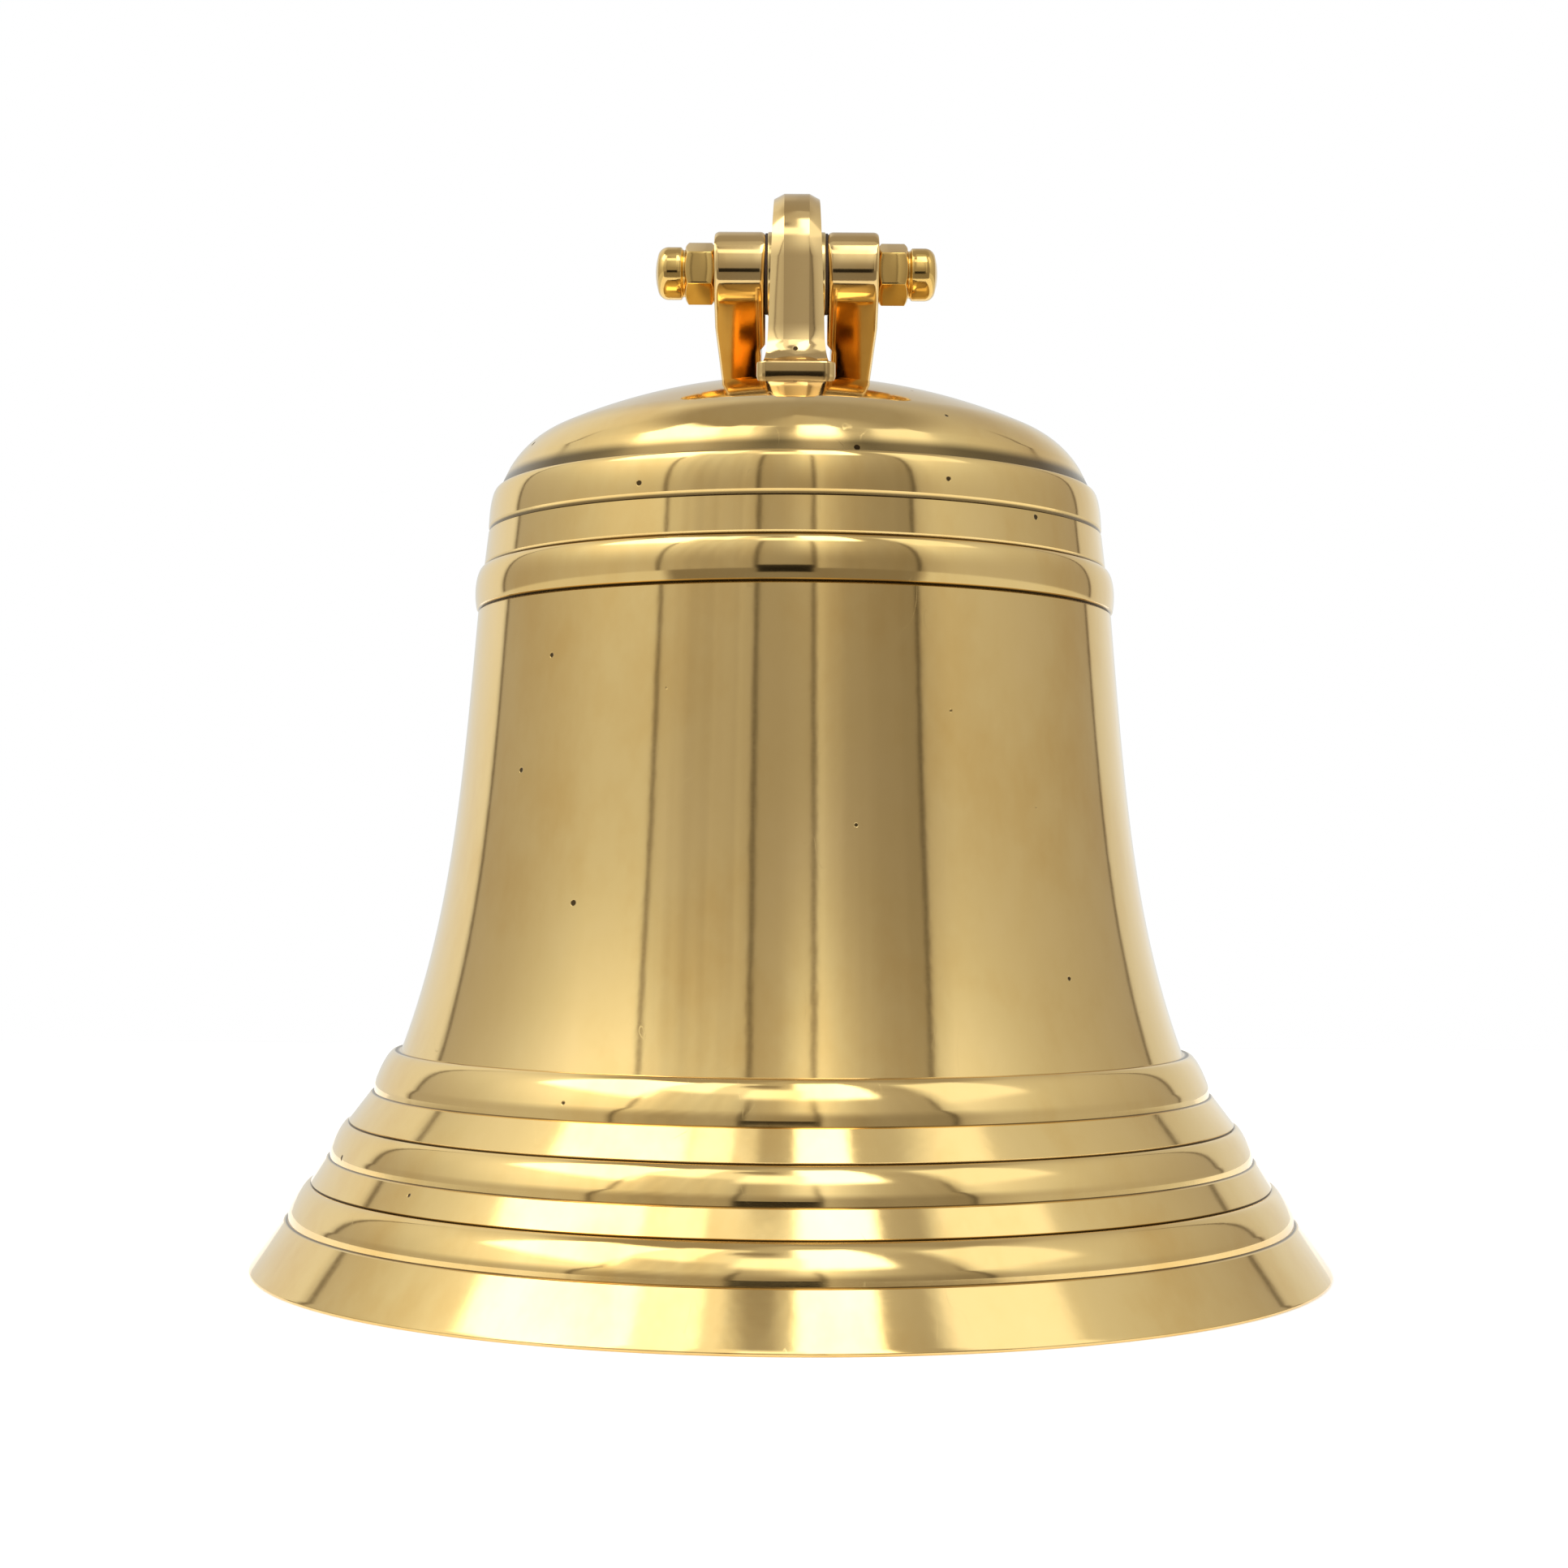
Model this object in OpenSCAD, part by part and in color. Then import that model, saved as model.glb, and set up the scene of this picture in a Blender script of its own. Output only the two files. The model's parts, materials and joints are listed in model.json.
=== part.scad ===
// Ship bell in polished brass, standing on its lip: a turned bell body, a crown loop bolted
// through the head, a hanging shackle that swings on a pivot stud, and a clapper on a pin.
// Millimetres, +Z up. The origin is the centre of the lip's resting face.
// The shackle and the clapper both swing about axes parallel to X.

/* [Bell body] */
// Diameter over the lip
lip_d = 254; // [200:1:310]
// Height of the head's crown above the lip's resting face
head_h = 209.6; // [172:0.2:254]
// Depth of the domed head, from its crown down to the first groove
head_drop = 27.1; // [23:0.1:32]
// Diameter at the groove below the domed head
shoulder_d = 142.8; // [118:0.2:172]
// Height of the three plain bands of the skirt, from the lip up
band_h = [11.9, 6.2, 7.1]; // [4:0.1:16]
// How far each plain band leans in, from the lip up
band_lean = [8.5, 4.0, 5.5]; // [2:0.1:12]
// Height of the three skirt beads, from the lip up
bead_h = [8.0, 7.7, 9.3]; // [4:0.1:14]
// How far each skirt bead leans in, from the lip up
bead_lean = [5.5, 4.4, 5.1]; // [2:0.1:9]
// Fullness of the skirt beads, from a flat chamfer to a full quarter round
bead_fullness = 0.45; // [0.2:0.05:0.8]
// Ledge between the top bead of the skirt and the waist
waist_ledge = 1.6; // [0.8:0.1:3]
// Straight part of the waist's lean
waist_lean = 0.49; // [0.3:0.01:0.7]
// How sharply the waist curls out at its foot
waist_curl = 3.5; // [2:0.1:5]
// Height of the torus bead at the top of the waist
collar_bead_h = 10.1; // [6:0.1:14]
// Height of the plain frieze between the two upper beads
frieze_h = 8.7; // [5:0.1:14]
// Height of the quarter-round bead below the domed head
shoulder_bead_h = 9.9; // [6:0.1:14]
// Throw of the quarter-round shoulder bead
shoulder_throw = 1.9; // [1:0.1:3]
// Throw of the torus bead at the top of the waist
collar_throw = 2.0; // [1:0.1:3]
// Lean of the frieze between the upper beads
frieze_lean = 1.0; // [0.4:0.1:2]
// Crown radius of the domed head
crown_r = 138; // [115:1:170]
// Knuckle radius where the head turns down to the shoulder
knuckle_r = 22; // [17:0.5:27]
// Slope of the head at its outer edge, in degrees
edge_slope = 60; // [52:1:68]
// Half width of the turned V grooves
groove = 0.6; // [0.3:0.05:1]
// Radius on the outer edge of the lip
lip_round = 1.5; // [0.8:0.1:2.5]

/* [Walls] */
// Width of the flat face that the bell stands on
lip_face = 6; // [4:0.5:9]
// Wall at the foot of the waist
bow_wall = 6.5; // [5:0.5:9]
// How far the sound bow swells inwards between lip and waist
bow_swell = 3; // [1:0.5:5]
// Wall of the waist
waist_wall = 4.5; // [3.5:0.1:6.5]
// Thickness of the head at its middle
head_wall = 8; // [6:0.5:11]
// Radius of the flat seat turned inside the head
seat_r = 20; // [17:0.5:24]

/* [Crown loop] */
// Height of the pivot axis above the head's crown
pivot_rise = 27.3; // [25:0.1:34]
// Outer radius of the loop's eye
loop_r = 19; // [16.5:0.1:22]
// Thickness of the loop at its top
loop_top_w = 11.3; // [9:0.1:12]
// Thickness of the loop where the flare begins
loop_w = 13.4; // [11:0.1:14]
// Height of the concave flare above the foot
flare_h = 10.5; // [8:0.5:12]
// Length of the foot, front to back
foot_l = 54; // [46:0.5:65]
// Width of the foot
foot_w = 18.3; // [16:0.1:22]
// Height of the foot's top above the head's crown
foot_rise = 0.9; // [0.4:0.1:2]
// Step from the flare to the edge of the foot
foot_step = 0.7; // [0.3:0.1:1.2]

/* [Hanging shackle] */
// Distance across the outer faces of the shackle's eyes
shackle_w = 39.5; // [35:0.1:47]
// Radius of the eyes
eye_r = 10; // [8.5:0.1:12]
// Distance from the pivot axis to the centre of the bow's bar
bow_reach = 50.5; // [44:0.1:61]
// Half depth of the bow's bar
bow_bar_r = 5.5; // [4.5:0.1:6.5]
// Radius of the slot that goes over the bracket's hook
slot_r = 8.6; // [8.1:0.1:9.6]
// Thickness of the bow at its end
bow_t = 9.4; // [8:0.1:11]
// Gap left between the resting shackle and the head
rest_gap = 0.3; // [0.2:0.05:0.6]
// Length of the pivot sleeve
sleeve_l = 13.9; // [13:0.1:14.6]
// Radius of the pivot sleeve
sleeve_r = 10; // [8.5:0.1:12]
// Thickness of each side washer
side_washer_t = 0.6; // [0.4:0.1:1]

/* [Fasteners] */
// Diameter of the pivot stud
pivot_d = 8; // [6.5:0.5:10]
// Width across the flats of the acorn nuts
acorn_af = 13.2; // [12:0.1:16]
// Height of the hexagon of the acorn nuts
acorn_hex_h = 7; // [5.5:0.1:8.5]
// Length of the rounded cap of the acorn nuts
acorn_cap_h = 7.25; // [6:0.05:9]
// Diameter of the rounded cap of the acorn nuts
acorn_cap_d = 12.6; // [11:0.1:13]
// Diameter of the crown stud
crown_stud_d = 12; // [10:0.5:14]
// Width across the flats of the crown nut and its lock nut
crown_nut_af = 19; // [17:0.5:22]
// Height of the crown nut
crown_nut_h = 10; // [8:0.5:12]
// Height of the lock nut
lock_nut_h = 6; // [5:0.5:8]
// Thickness of the fibre gasket under the head
gasket_t = 2; // [1.5:0.1:3]
// Thickness of the plain washer under the gasket
head_washer_t = 2.5; // [2:0.1:4]
// Clearance around a bolt in a plain hole
bolt_clear = 0.2; // [0.1:0.05:0.4]
// Running clearance of a pivot in its bore
run_clear = 0.05; // [0.02:0.01:0.08]

/* [Clapper] */
// Height of the clapper's tail above the lip's resting face
tail_lift = 2.2; // [1:0.1:10]
// Diameter of the clapper ball
ball_d = 40; // [32:0.5:48]
// Diameter of the clapper rod
rod_d = 10; // [8:0.5:12]
// Diameter of the clapper pin
pin_d = 6; // [5:0.5:7]
// Radius of the clapper's top eye
top_eye_r = 7; // [6:0.1:8]
// Width of the clapper's top eye
top_eye_w = 8; // [7:0.1:10]
// Side gap between the top eye and the hanger's cheeks
cheek_gap = 0.5; // [0.3:0.1:1]
// Thickness of the hanger's cheeks
cheek_t = 5; // [4:0.5:7]
// Radius of the tail's lanyard eye
tail_eye_r = 7; // [6:0.1:8]
// Radius of the hole in the lanyard eye
lanyard_r = 3; // [2.5:0.1:3.5]
// Width of the lanyard eye
tail_eye_w = 6; // [5:0.1:8]

/* [Hidden] */
$fn = 96;

polished = [0.86, 0.70, 0.40];
cast = [0.78, 0.60, 0.30];
turned = [0.82, 0.66, 0.36];
fibre = [0.25, 0.16, 0.12];
through = 2; // overlap of a cutting tool past the face it cuts

// ---- outline of the bell body, as [radius, height] points from the crown down ----

lip_r = lip_d / 2;
shoulder_r = shoulder_d / 2;
skirt_z = [0, band_h[0], band_h[0] + bead_h[0],
    band_h[0] + bead_h[0] + band_h[1],
    band_h[0] + bead_h[0] + band_h[1] + bead_h[1],
    band_h[0] + bead_h[0] + band_h[1] + bead_h[1] + band_h[2],
    band_h[0] + bead_h[0] + band_h[1] + bead_h[1] + band_h[2] + bead_h[2]];
skirt_in = [0, band_lean[0], band_lean[0] + bead_lean[0],
    band_lean[0] + bead_lean[0] + band_lean[1],
    band_lean[0] + bead_lean[0] + band_lean[1] + bead_lean[1],
    band_lean[0] + bead_lean[0] + band_lean[1] + bead_lean[1] + band_lean[2],
    band_lean[0] + bead_lean[0] + band_lean[1] + bead_lean[1] + band_lean[2] + bead_lean[2]];
skirt = [for (i = [0 : 6]) [lip_r - skirt_in[i], skirt_z[i]]];

shoulder_z = head_h - head_drop;
frieze_z = shoulder_z - shoulder_bead_h;
collar_z = frieze_z - frieze_h;
waist_z = collar_z - collar_bead_h;
collar_under = 40; // how far round the torus bead turns under, in degrees

head_edge = [shoulder_r, shoulder_z];
frieze_top = [shoulder_r + shoulder_throw, frieze_z];
collar_top = [frieze_top[0] + frieze_lean, collar_z];
collar_foot = [collar_top[0] + collar_throw * cos(collar_under), waist_z];
waist_top_r = collar_foot[0] - 0.3;
waist_foot = skirt[6] - [waist_ledge, 0];

function mix(p, q, t) = p + (q - p) * t;

// Bead from its upper edge p down to q: a blend of the chord and a quarter ellipse
function bead(p, q, fullness, n = 8) = [for (i = [0 : n])
    let (a = 90 * i / n)
    mix(mix(p, q, 1 - cos(a)), [p[0] + (q[0] - p[0]) * sin(a), q[1] + (p[1] - q[1]) * cos(a)],
        fullness)];

// Torus bead from its upper edge p: a quarter ellipse that goes on round underneath
function torus_bead(p, throw, h, under, n = 10) =
    let (b = h / (1 + sin(under)))
    [for (i = [0 : n])
        let (a = 90 - (90 + under) * i / n)
        [p[0] + throw * cos(a), p[1] - b + b * sin(a)]];

// Radius of the waist's outside at share t of the way down
function waist_r(t) = waist_top_r
    + (waist_foot[0] - waist_top_r) * (waist_lean * t + (1 - waist_lean) * pow(t, waist_curl));
function waist_height(t) = waist_z + (waist_foot[1] - waist_z) * t;
waist_steps = 16;

// The head is a crown arc, a knuckle arc and a straight edge, each tangent to the next
crown_centre = [0, head_h - crown_r];
edge_up = [-cos(edge_slope), sin(edge_slope)];
edge_in = [-sin(edge_slope), -cos(edge_slope)];
knuckle_from = head_edge + knuckle_r * edge_in - crown_centre;
knuckle_run = -(knuckle_from * edge_up) + sqrt(pow(knuckle_from * edge_up, 2)
    - knuckle_from * knuckle_from + pow(crown_r - knuckle_r, 2));
knuckle_centre = crown_centre + knuckle_from + knuckle_run * edge_up;
knuckle_start = atan2(knuckle_centre[1] - crown_centre[1], knuckle_centre[0]);
knuckle_end = 90 - edge_slope;
function arc(c, r, a, b, n) = [for (i = [0 : n])
    c + r * [cos(mix(a, b, i / n)), sin(mix(a, b, i / n))]];
head_curve = concat(arc(crown_centre, crown_r, 90, knuckle_start, 10),
    arc(knuckle_centre, knuckle_r, knuckle_start, knuckle_end, 8));

outside = concat(head_curve,
    bead(head_edge, frieze_top, 1),
    torus_bead(collar_top, collar_throw, collar_bead_h, collar_under),
    [for (i = [0 : waist_steps]) [waist_r(i / waist_steps), waist_height(i / waist_steps)]],
    bead(skirt[6], skirt[5], bead_fullness),
    bead(skirt[4], skirt[3], bead_fullness),
    bead(skirt[2], skirt[1], bead_fullness),
    arc([lip_r - lip_round, lip_round], lip_round, 35, -90, 5));

inner_waist_r = waist_top_r - waist_wall;
inner_head_r = shoulder_r - waist_wall;
inner_head_z = frieze_z;
// Height that the inside of the head would reach on the axis
inner_top = inner_head_z + (head_h - head_wall - inner_head_z)
    / sqrt(1 - pow(seat_r / inner_head_r, 2));
seat_z = head_h - head_wall;
bow_foot = [lip_r - lip_round - lip_face, 0];
bow_top = [waist_foot[0] - bow_wall, waist_foot[1]];
bow_steps = 8;
function inner_wall(t) = waist_wall + (bow_wall - waist_wall) * t * t;
seat_angle = acos(seat_r / inner_head_r);

inside = concat(
    [for (i = [0 : bow_steps]) let (t = i / bow_steps)
        mix(bow_foot, bow_top, t) - [bow_swell * 4 * t * (1 - t), 0]],
    [for (i = [waist_steps - 1 : -1 : 0]) let (t = i / waist_steps)
        [waist_r(t) - inner_wall(t), waist_height(t)]],
    [for (i = [0 : 10]) let (a = seat_angle * i / 10)
        [inner_head_r * cos(a), inner_head_z + (inner_top - inner_head_z) * sin(a)]]);

groove_places = concat([head_edge, frieze_top, collar_top, [waist_top_r, waist_z]],
    [for (i = [1 : 6]) skirt[i]]);

// ---- places that several pieces share ----

pivot_z = head_h + pivot_rise;
stud_hole_r = crown_stud_d / 2 + bolt_clear;
stud_roof = 4.25; // metal between the crown loop's tapped hole and its eye
loop_stud_depth = pivot_rise - sleeve_r - run_clear - stud_roof;
washer_z = seat_z - gasket_t;
crown_nut_z = washer_z - head_washer_t;
lock_nut_z = crown_nut_z - crown_nut_h;
hanger_z = lock_nut_z - lock_nut_h;
hanger_boss_r = crown_stud_d / 2 + 3;
hanger_boss_h = 14;
hanger_thread = 11; // depth of the tapped hole down into the hanger's boss
bridge_z = hanger_z - hanger_boss_h;
bridge_gap = 4; // between the top eye and the hanger's bridge
pin_z = bridge_z - bridge_gap - top_eye_r;
cheek_in = top_eye_w / 2 + cheek_gap;
cheek_out = cheek_in + cheek_t;
pin_r = pin_d / 2;
pin_end = cheek_out + 4.5;
pin_head_r = pin_r + 2;
pin_head_t = 2.5;
pin_washer_t = 1;
split_x = cheek_out + pin_washer_t + 1.2;
split_r = 0.8;

rod_r = rod_d / 2;
socket_r = rod_r + 2.2;
socket_h = 15;
eye_neck = 1.2; // between the cheeks' round ends and the socket
socket_z = pin_z - top_eye_r - eye_neck - socket_h;
rod_thread = 12; // length of rod inside the top eye's socket
rod_nut_h = 6;
rod_nut_af = rod_d + 7;
ball_r = ball_d / 2;
ball_flat_r = rod_r + 2.5; // flats turned on the ball where the rod's shoulder and tail bear
ball_flat = sqrt(ball_r * ball_r - ball_flat_r * ball_flat_r);
shoulder_h = 3;
tail_socket_h = 6.5;
tail_thread = 5; // length of rod inside the tail's socket
tail_roof = 0.8; // metal between the lanyard hole and the socket's foot
tail_eye_z = tail_lift + tail_eye_r;
tail_z = tail_eye_z + lanyard_r + tail_roof + tail_socket_h;
ball_z = tail_z + ball_flat;

eye_in = sleeve_l / 2 + side_washer_t;
eye_out = shackle_w / 2;
pivot_hole_r = pivot_d / 2 + bolt_clear;
acorn_thread = 4; // depth of thread in the rounded cap, beyond the hexagon
stud_end = eye_out + acorn_hex_h + acorn_thread;

// ---- how far the shackle can lie down ----
// Seen from the side the shackle is a bar that tapers from the eye to the bow. For a point
// at distance d from the pivot, shadow(d) is the angle from the bar's middle to its underside.
taper = asin((eye_r - bow_bar_r) / bow_reach);
flank_end = norm([eye_r + rest_gap, bow_reach * cos(taper)]);
function shadow(d) = d < flank_end
    ? 90 - taper - acos(min(1, (eye_r + rest_gap) / d))
    : acos((bow_reach * bow_reach + d * d - pow(bow_bar_r + rest_gap, 2)) / (2 * bow_reach * d));
function tilt_to(q) = let (drop = pivot_z - q[1], d = norm([q[0], drop]))
    d > bow_reach + bow_bar_r ? 90 : atan2(drop, q[0]) - shadow(d);
foot_top = head_h + foot_rise;
foot_corner = [foot_l / 2, foot_top];
head_contacts = concat(arc(crown_centre, crown_r, 90, knuckle_start, 60),
    arc(knuckle_centre, knuckle_r, knuckle_start, knuckle_end, 20));
rest_tilt = min([for (q = concat(head_contacts, [foot_corner])) tilt_to(q)]);

// ---- small shapes used by several pieces ----

// Ring or disc on the Z axis from z = 0 up
module ring(outer, inner, h) {
    difference() {
        cylinder(r = outer, h = h);
        if (inner > 0) translate([0, 0, -through]) cylinder(r = inner, h = h + 2 * through);
    }
}

// Hexagon with chamfered corners on the Z axis, from z = 0 up
module hex_nut(af, h, bore_r, chamfer = 0.8) {
    corner = af / sqrt(3);
    difference() {
        intersection() {
            cylinder(r = corner, h = h, $fn = 6);
            union() {
                cylinder(r1 = corner - chamfer, r2 = corner, h = chamfer * 0.6);
                translate([0, 0, chamfer * 0.6]) cylinder(r = corner, h = h - chamfer * 1.2);
                translate([0, 0, h - chamfer * 0.6])
                    cylinder(r1 = corner, r2 = corner - chamfer, h = chamfer * 0.6);
            }
        }
        translate([0, 0, -through]) cylinder(r = bore_r, h = h + 2 * through);
    }
}

// Turns Z into +X for the parts of the pivot and the clapper pin
module along_x() {
    rotate([0, 90, 0]) children();
}

// ---- bell ----

module bell_body() {
    color(polished) rotate_extrude() difference() {
        polygon(concat([[0, seat_z]],
            [for (i = [len(inside) - 1 : -1 : 0]) inside[i]],
            [for (i = [len(outside) - 1 : -1 : 0]) outside[i]]));
        translate([0, seat_z - through]) square([stud_hole_r, head_wall + 2 * through]);
        for (g = groove_places) translate(g) circle(r = groove, $fn = 4);
    }
}

// The head's outer surface as a solid, for fitting the crown loop's foot
module head_solid() {
    rotate_extrude() polygon(concat([[0, waist_z], [0, head_h]],
        [for (i = [1 : len(head_curve) - 1]) head_curve[i]], [[shoulder_r, waist_z]]));
}

flare_top = foot_top + flare_h;
flare_w = foot_w / 2 - foot_step;
flare_l = foot_l / 2 - foot_step;
// Concave sweep from the upright face at x down and out to x + run
function cove(x, run, n = 8) = [for (i = [0 : n]) let (a = 90 * i / n)
    [x + run * (1 - cos(a)), flare_top - flare_h * sin(a)]];
function mirrored(pts) = [for (i = [len(pts) - 1 : -1 : 0]) [-pts[i][0], pts[i][1]]];

module crown_loop() {
    side = cove(loop_r, flare_l - loop_r);
    front = concat([[loop_top_w / 2, pivot_z + loop_r]],
        cove(loop_w / 2, flare_w - loop_w / 2));
    side_half = concat([[loop_r, pivot_z]], side, [[flare_l, waist_z]]);
    front_half = concat(front, [[flare_w, waist_z]]);
    color(cast) difference() {
        union() {
            intersection() {
                rotate([90, 0, 90]) translate([0, 0, -foot_w / 2]) linear_extrude(foot_w)
                    union() {
                        translate([0, pivot_z]) circle(r = loop_r);
                        polygon(concat(side_half, mirrored(side_half)));
                    }
                rotate([90, 0, 0]) translate([0, 0, -foot_l / 2]) linear_extrude(foot_l)
                    polygon(concat(front_half, mirrored(front_half)));
            }
            translate([-foot_w / 2, -foot_l / 2, waist_z])
                cube([foot_w, foot_l, foot_top - waist_z]);
        }
        head_solid();
        translate([-foot_w, 0, pivot_z]) along_x()
            cylinder(r = sleeve_r + run_clear, h = 2 * foot_w);
        translate([0, 0, waist_z])
            cylinder(r = crown_stud_d / 2, h = head_h + loop_stud_depth - waist_z);
    }
}

module crown_stud() {
    top = head_h + loop_stud_depth;
    bottom = hanger_z - hanger_thread;
    color(turned) translate([0, 0, bottom]) cylinder(r = crown_stud_d / 2, h = top - bottom);
}

module head_gasket() {
    color(fibre) translate([0, 0, washer_z]) ring(seat_r - 1, stud_hole_r, gasket_t);
}

module head_washer() {
    color(turned) translate([0, 0, crown_nut_z]) ring(seat_r - 2, stud_hole_r, head_washer_t);
}

module crown_nut() {
    color(turned) translate([0, 0, lock_nut_z])
        hex_nut(crown_nut_af, crown_nut_h, crown_stud_d / 2);
}

module lock_nut() {
    color(turned) translate([0, 0, hanger_z])
        hex_nut(crown_nut_af, lock_nut_h, crown_stud_d / 2);
}

// ---- clapper and its hanger ----

module clapper_hanger() {
    bridge_t = 5;
    color(cast) difference() {
        union() {
            translate([0, 0, bridge_z]) cylinder(r = hanger_boss_r, h = hanger_boss_h);
            translate([-cheek_out, -top_eye_r, bridge_z])
                cube([2 * cheek_out, 2 * top_eye_r, bridge_t]);
            for (s = [-1, 1]) {
                translate([s * (cheek_in + cheek_t / 2) - cheek_t / 2, 0, 0]) {
                    translate([0, -top_eye_r, pin_z])
                        cube([cheek_t, 2 * top_eye_r, bridge_z + bridge_t - pin_z]);
                    translate([0, 0, pin_z]) along_x() cylinder(r = top_eye_r, h = cheek_t);
                }
            }
        }
        translate([0, 0, hanger_z - hanger_thread])
            cylinder(r = crown_stud_d / 2, h = hanger_thread + through);
        translate([-cheek_out - through, 0, pin_z]) along_x()
            cylinder(r = pin_r + run_clear, h = 2 * (cheek_out + through));
    }
}

module clapper_pin() {
    color(turned) difference() {
        union() {
            translate([-cheek_out - pin_head_t, 0, pin_z]) along_x()
                cylinder(r = pin_head_r, h = pin_head_t);
            translate([-cheek_out, 0, pin_z]) along_x()
                cylinder(r = pin_r, h = cheek_out + pin_end);
        }
        translate([split_x, 0, pin_z - pin_head_r])
            cylinder(r = split_r, h = 2 * pin_head_r);
    }
}

module pin_washer() {
    color(turned) translate([cheek_out, 0, pin_z]) along_x()
        ring(pin_head_r, pin_r + run_clear, pin_washer_t);
}

module split_pin() {
    leg = pin_r + 3;
    loop = 2.2;
    color(turned) translate([split_x, 0, pin_z]) {
        translate([0, 0, -leg]) cylinder(r = split_r, h = 2 * leg - 1);
        translate([0, 0, leg + loop - 1 - split_r / 2]) along_x()
            rotate_extrude() translate([loop - split_r, 0]) circle(r = split_r);
    }
}

module clapper_eye() {
    color(cast) difference() {
        union() {
            translate([-top_eye_w / 2, 0, pin_z]) along_x()
                cylinder(r = top_eye_r, h = top_eye_w);
            translate([-top_eye_w / 2, -top_eye_r + 1, socket_z + socket_h - 1])
                cube([top_eye_w, 2 * top_eye_r - 2, top_eye_r + eye_neck + 1]);
            translate([0, 0, socket_z]) cylinder(r = socket_r, h = socket_h);
        }
        translate([-top_eye_w, 0, pin_z]) along_x()
            cylinder(r = pin_r + run_clear, h = 2 * top_eye_w);
        translate([0, 0, socket_z - through]) cylinder(r = rod_r, h = rod_thread + through);
    }
}

module rod_nut() {
    color(turned) translate([0, 0, socket_z - rod_nut_h]) hex_nut(rod_nut_af, rod_nut_h, rod_r);
}

module clapper_rod() {
    bottom = tail_z - tail_thread;
    color(turned) {
        translate([0, 0, bottom]) cylinder(r = rod_r, h = socket_z + rod_thread - bottom);
        translate([0, 0, ball_z + ball_flat]) cylinder(r = ball_flat_r, h = shoulder_h);
    }
}

module clapper_ball() {
    color(cast) difference() {
        intersection() {
            translate([0, 0, ball_z]) sphere(r = ball_r);
            translate([0, 0, ball_z - ball_flat]) cylinder(r = ball_d, h = 2 * ball_flat);
        }
        translate([0, 0, ball_z - ball_d]) cylinder(r = rod_r, h = 2 * ball_d);
    }
}

module clapper_tail() {
    color(cast) difference() {
        union() {
            translate([0, 0, tail_z - tail_socket_h])
                cylinder(r = ball_flat_r, h = tail_socket_h);
            translate([-tail_eye_w / 2, 0, tail_eye_z]) along_x()
                cylinder(r = tail_eye_r, h = tail_eye_w);
        }
        translate([-tail_eye_w, 0, tail_eye_z]) along_x()
            cylinder(r = lanyard_r, h = 2 * tail_eye_w);
        translate([0, 0, tail_z - tail_thread]) cylinder(r = rod_r, h = tail_thread + through);
    }
}

// ---- hanging shackle and its pivot ----

// Puts a piece drawn with its arms along +Y on the pivot, lying back on the head
module at_pivot() {
    translate([0, 0, pivot_z]) rotate([-rest_tilt, 0, 0]) children();
}

module hanging_shackle() {
    bow_centre = bow_reach + bow_bar_r - slot_r - bow_t;
    bow_r = slot_r + bow_t;
    half = eye_out + through;
    relief = eye_r + 2; // past the eyes the slot widens from the sleeve's width
    side = concat(arc([0, 0], eye_r, 90 - taper, 270 + taper, 32),
        arc([bow_reach, 0], bow_bar_r, -90 + taper, 90 - taper, 20));
    color(polished) at_pivot() difference() {
        intersection() {
            rotate([90, 0, 90]) translate([0, 0, -half]) linear_extrude(2 * half) polygon(side);
            translate([0, 0, -eye_r - through]) linear_extrude(2 * (eye_r + through))
                difference() {
                    union() {
                        polygon([[-eye_out, -eye_r - through], [eye_out, -eye_r - through],
                            [eye_out, eye_r], [bow_r, bow_centre], [-bow_r, bow_centre],
                            [-eye_out, eye_r]]);
                        translate([0, bow_centre]) circle(r = bow_r);
                    }
                    polygon([[-eye_in, -2 * eye_r], [eye_in, -2 * eye_r], [eye_in, eye_r],
                        [slot_r, relief], [slot_r, bow_centre], [-slot_r, bow_centre],
                        [-slot_r, relief], [-eye_in, eye_r]]);
                    translate([0, bow_centre]) circle(r = slot_r);
                }
        }
        translate([-half, 0, 0]) along_x() cylinder(r = pivot_hole_r, h = 2 * half);
    }
}

module pivot_stud() {
    color(turned) translate([-stud_end, 0, pivot_z]) along_x()
        cylinder(r = pivot_d / 2, h = 2 * stud_end);
}

// Acorn nut on the Z axis: hexagon, short neck and a rounded cap, bored from below
module acorn_nut() {
    cap_r = acorn_cap_d / 2;
    edge = 2.6; // radius at the edge of the cap's end
    neck = 0.5;
    difference() {
        union() {
            hex_nut(acorn_af, acorn_hex_h, pivot_d / 2, 0.6);
            translate([0, 0, acorn_hex_h]) rotate_extrude() union() {
                polygon([[0, -1], [cap_r - neck, -1], [cap_r - neck, neck], [cap_r, 2 * neck],
                    [cap_r, acorn_cap_h - edge], [cap_r - edge, acorn_cap_h - 0.5],
                    [0, acorn_cap_h - 0.5]]);
                intersection() {
                    translate([cap_r - edge, acorn_cap_h - edge - 0.5]) circle(r = edge);
                    square([cap_r, acorn_cap_h]);
                }
                polygon([[0, 0], [cap_r - edge, acorn_cap_h - 0.5], [0, acorn_cap_h]]);
            }
        }
        translate([0, 0, -through])
            cylinder(r = pivot_d / 2, h = through + acorn_hex_h + acorn_thread);
    }
}

module acorn_nut_left() {
    color(polished) translate([-eye_out, 0, pivot_z]) rotate([0, -90, 0]) acorn_nut();
}

module acorn_nut_right() {
    color(polished) translate([eye_out, 0, pivot_z]) rotate([0, 90, 0]) acorn_nut();
}

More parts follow.
